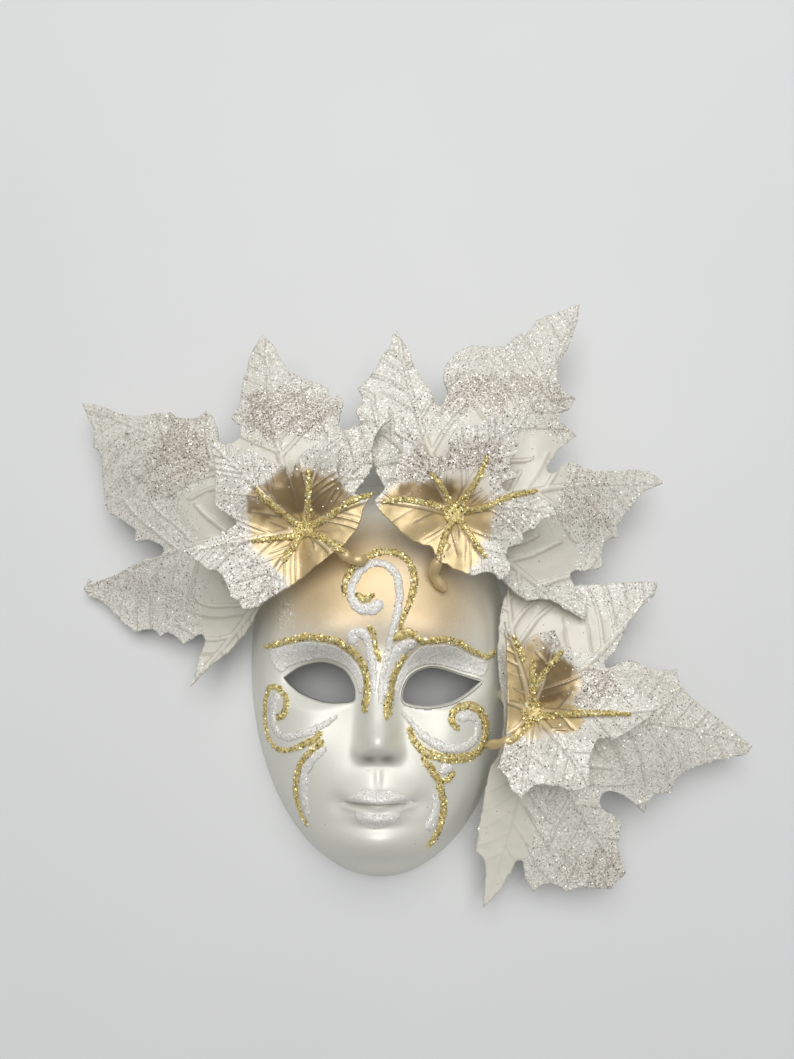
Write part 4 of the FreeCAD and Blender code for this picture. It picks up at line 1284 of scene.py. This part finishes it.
SMALL_RIGHT.update(
    pitch=2.5, lean=1.5, vein_width=0.2, relief=0.42, glitter_from=(0.3, 0.42),
    gold_wash=[(-9, -1, 10.5, 8), (0, -2, 9.5, 9), (-2, -10, 8, 7)], bronze=[(-7, 5, 7, 3)],
    belts=[(-1, 11.5, 15, 5.5, 1.0), (11, 0, 6, 5, 0.5)],
    paths=[[(-0.3, 1), (-3.5, 6), (-6, 8.6)], [(1, 2), (4.7, 6.8), (7.5, 12.5)],
           [(1, 0.5), (7, 0.8), (12.5, 3.1), (18.7, 4.1)],
           [(-1, 0.5), (-7.5, 1.8), (-13, 2.6), (-17.4, 1.6)],
           [(1, -1.5), (4.2, -6.8), (7, -10.9)], [(-0.5, -1), (-3, -7), (-4.4, -11)]])
SMALL_CHEEK.update(
    pitch=3.3, lean=0.8, vein_width=0.22, relief=0.55, glitter_from=(0.25, 0.4),
    gold_wash=[(-3, 6, 9, 13), (4, 7, 7, 7), (6, -1, 6, 4)], bronze=[(5, 9, 5, 7)],
    belts=[(11.5, 7, 8, 5, 0.8), (-5, -12, 5, 6, 0.4), (3, 17, 6, 4, 0.5)], sparse=0.4,
    paths=[[(0, -2), (0, 5), (-0.3, 12)], [(0.5, 5.7), (3.1, 10.4), (6.4, 14.5)], [(-2.8, 13.5), (-4.6, 18)],
           [(1, -1.3), (10.9, 0), (21.8, 0)], [(-1, -3), (-3.5, -5.3), (-5.5, -6.4)]])


draw = np.random.default_rng(20)
for side, (large, small, _) in LEAF_PAIRS.items():
    for kind, leaf, leather in (("large", large, LARGE_LEATHER), ("small", small, SMALL_LEATHER)):
        piece, outline = make_leaf("leather_leaf_%s_%s" % (kind, side), leaf, leather, LEAF_GRID[kind])
        finish_piece(piece, kind + "_leaf_leather", "leaf_%s_%s" % (kind, side))
        radius, density = leaf["flakes"]
        centres, normals = scatter(outline, leaf_top(leaf), partial(leaf_cover, leaf), density, draw)
        centres[:, 2] += FLAKE_LIFT
        bias = 0.7 + 0.9 * leaf_belt(leaf, centres[:, 0], centres[:, 1])
        glitter = flakes("silver_glitter_%s_%s" % (kind, side), (centres, normals),
                         (radius, 0.55, 1.15, bias, 0.28), SILVER_FLAKES, draw)
        finish_piece(glitter, "white_glitter")


# ---- loose glitter on the left temple ----

TEMPLE = np.array([(-27, 12), (-21, 12), (-21, 22), (-27, 22)], float)
TEMPLE_DENSITY = 9
TEMPLE_LOOK = (0.24, 0.6, 1.15, 0.3, 0.4)


def temple_amount(x, y):
    return bump(x, y, -24, 17, 1.8, 3.6)


places = scatter(TEMPLE, face_height, temple_amount, TEMPLE_DENSITY, draw)
finish_piece(flakes("silver_glitter_temple", places, TEMPLE_LOOK, SILVER_FLAKES, draw), "white_glitter")


# ---- glitter lines: glue, flakes and slot; height, widening against the CAD and lumpiness; flakes
# per square mm and their look ----
GOLD_LINE = {
    "glue": GOLD_GLUE, "glitter": GOLD_FLAKES, "slot": "gold_glitter", "height": GOLD_RAISE,
    "wider": 1.35, "lumps": 0.34, "density": 11, "look": (0.28, 0.6, 1.2, 0.8, 0.6)}
WHITE_LINE = {
    "glue": WHITE_GLUE, "glitter": SILVER_FLAKES, "slot": "white_glitter", "height": WHITE_RAISE,
    "wider": 1.2, "lumps": 0.24, "density": 8, "look": (0.16, 0.6, 1.2, 0.28, 0.4)}
RIB_WIDTHS = (0.95, 0.7, 0.4)
BLOT_WIDTHS = (2.0, 2.2, 2.0)
BLOT_PATH = [(-0.6, -0.4), (0, 0), (0.6, 0.5)]
COAT_DENSITY = 5
COAT_LOOK = (0.16, 0.6, 1.2, 0.35, 0.35)


def joined(name, pieces):
    """One object from several."""
    for piece in bpy.context.selected_objects:
        piece.select_set(False)
    for piece in pieces:
        piece.select_set(True)
    bpy.context.view_layer.objects.active = pieces[0]
    bpy.ops.object.join()
    pieces[0].name = name
    pieces[0].data.name = name
    return pieces[0]


def glitter_line(name, widths, points, ground, kind):
    """A glue line and the flakes on it, as two objects."""
    height = kind["height"]
    piece, line, half, sideways = bead(name, widths, points, ground, height, kind["glue"], kind["lumps"])
    places = bead_flakes(line, half, sideways, ground, height, kind["density"], draw)
    return [piece, flakes(name + "_flakes", places, kind["look"], kind["glitter"], draw)]


for side, (_, small, _) in LEAF_PAIRS.items():
    heart_x, heart_y = small["heart"][:2]
    parts = []
    for name, widths, paths in (("blot", BLOT_WIDTHS, [BLOT_PATH]), ("rib", RIB_WIDTHS, small["paths"])):
        for path in paths:
            points = [(heart_x + dx, heart_y + dy) for dx, dy in path]
            parts += glitter_line(name, widths, points, leaf_top(small), GOLD_LINE)
    finish_piece(joined("gold_ribs_" + side, parts), "gold_glitter", "leaf_gold_" + side)

for table, kind in ((WHITE_LINES, WHITE_LINE), (GOLD_LINES, GOLD_LINE)):
    for name, (start, middle, end, points) in table.items():
        widths = [kind["wider"] * half for half in (start, middle, end)]
        parts = glitter_line(name + "_line", widths, points, face_height, kind)
        finish_piece(joined(name + "_line", parts), kind["slot"], name)


# ---- spread coats on the lids and lips ----

def coat_top(x, y):
    return face_height(x, y) + SKIN_RAISE + 0.09 * grain(x, y, 0.5, 71)


def coat_bottom(x, y):
    return face_height(x, y) - COAT_SINK


def everywhere(x, y):
    return np.ones(len(x))


for name, outline in GLITTER_COATS.items():
    loop = spline(outline, 0.3, closed=True)
    points, faces, _ = slab(loop, COAT_GRID, coat_top, coat_bottom)
    coat = write_mesh(name + "_coat", points, faces, WHITE_GLUE)
    places = scatter(loop, coat_top, everywhere, COAT_DENSITY, draw)
    loose = flakes(name + "_flakes", places, COAT_LOOK, SILVER_FLAKES, draw)
    finish_piece(joined(name + "_coat", [coat, loose]), "white_glitter", name)


# ---- hot glue between shell and leaves ----

def glue_blob(name, x, y, radius, low, high, seed):
    """Squeezed blob of glue: wide feet, a waist and a lumpy skin."""
    turns = np.linspace(0, 2 * math.pi, BLOB_SIDES, endpoint=False)
    rings = []
    for level in np.linspace(0, 1, BLOB_LEVELS):
        lumps = 0.05 * grain(np.cos(turns), np.sin(turns) + 3 * level, 0.5, seed)
        ring = radius * (0.74 + 0.24 * (2 * level - 1) ** 2 + lumps)
        px = x + ring * np.cos(turns)
        py = y + ring * np.sin(turns)
        base = low(px, py)
        rings.append(np.column_stack([px, py, base + level * (high(px, py) - base)]))
    return write_mesh(name, np.vstack(rings), ring_faces(BLOB_LEVELS, BLOB_SIDES), HOT_GLUE)


def inside_leaf(leaf, depth):
    return lambda x, y: leaf_height(leaf, x, y) - depth


def inside_shell(lowest):
    return lambda x, y: np.maximum(face_height(x, y) - SINK, lowest)


for number, (side, (large, small, (pad_x, pad_y, pad_radius, lowest))) in enumerate(LEAF_PAIRS.items()):
    blob = glue_blob("glue_blob_shell_" + side, pad_x, pad_y, pad_radius,
                     inside_shell(lowest), inside_leaf(large, DEEP_SINK), 80 + number)
    finish_piece(blob, "hot_glue", "glue_shell_" + side)
    heart_x, heart_y = small["heart"][:2]
    blob = glue_blob("glue_blob_leaf_" + side, heart_x, heart_y, HEART_BLOB_RADIUS,
                     inside_leaf(large, SINK), inside_leaf(small, DEEP_SINK), 90 + number)
    finish_piece(blob, "hot_glue", "glue_leaf_" + side)
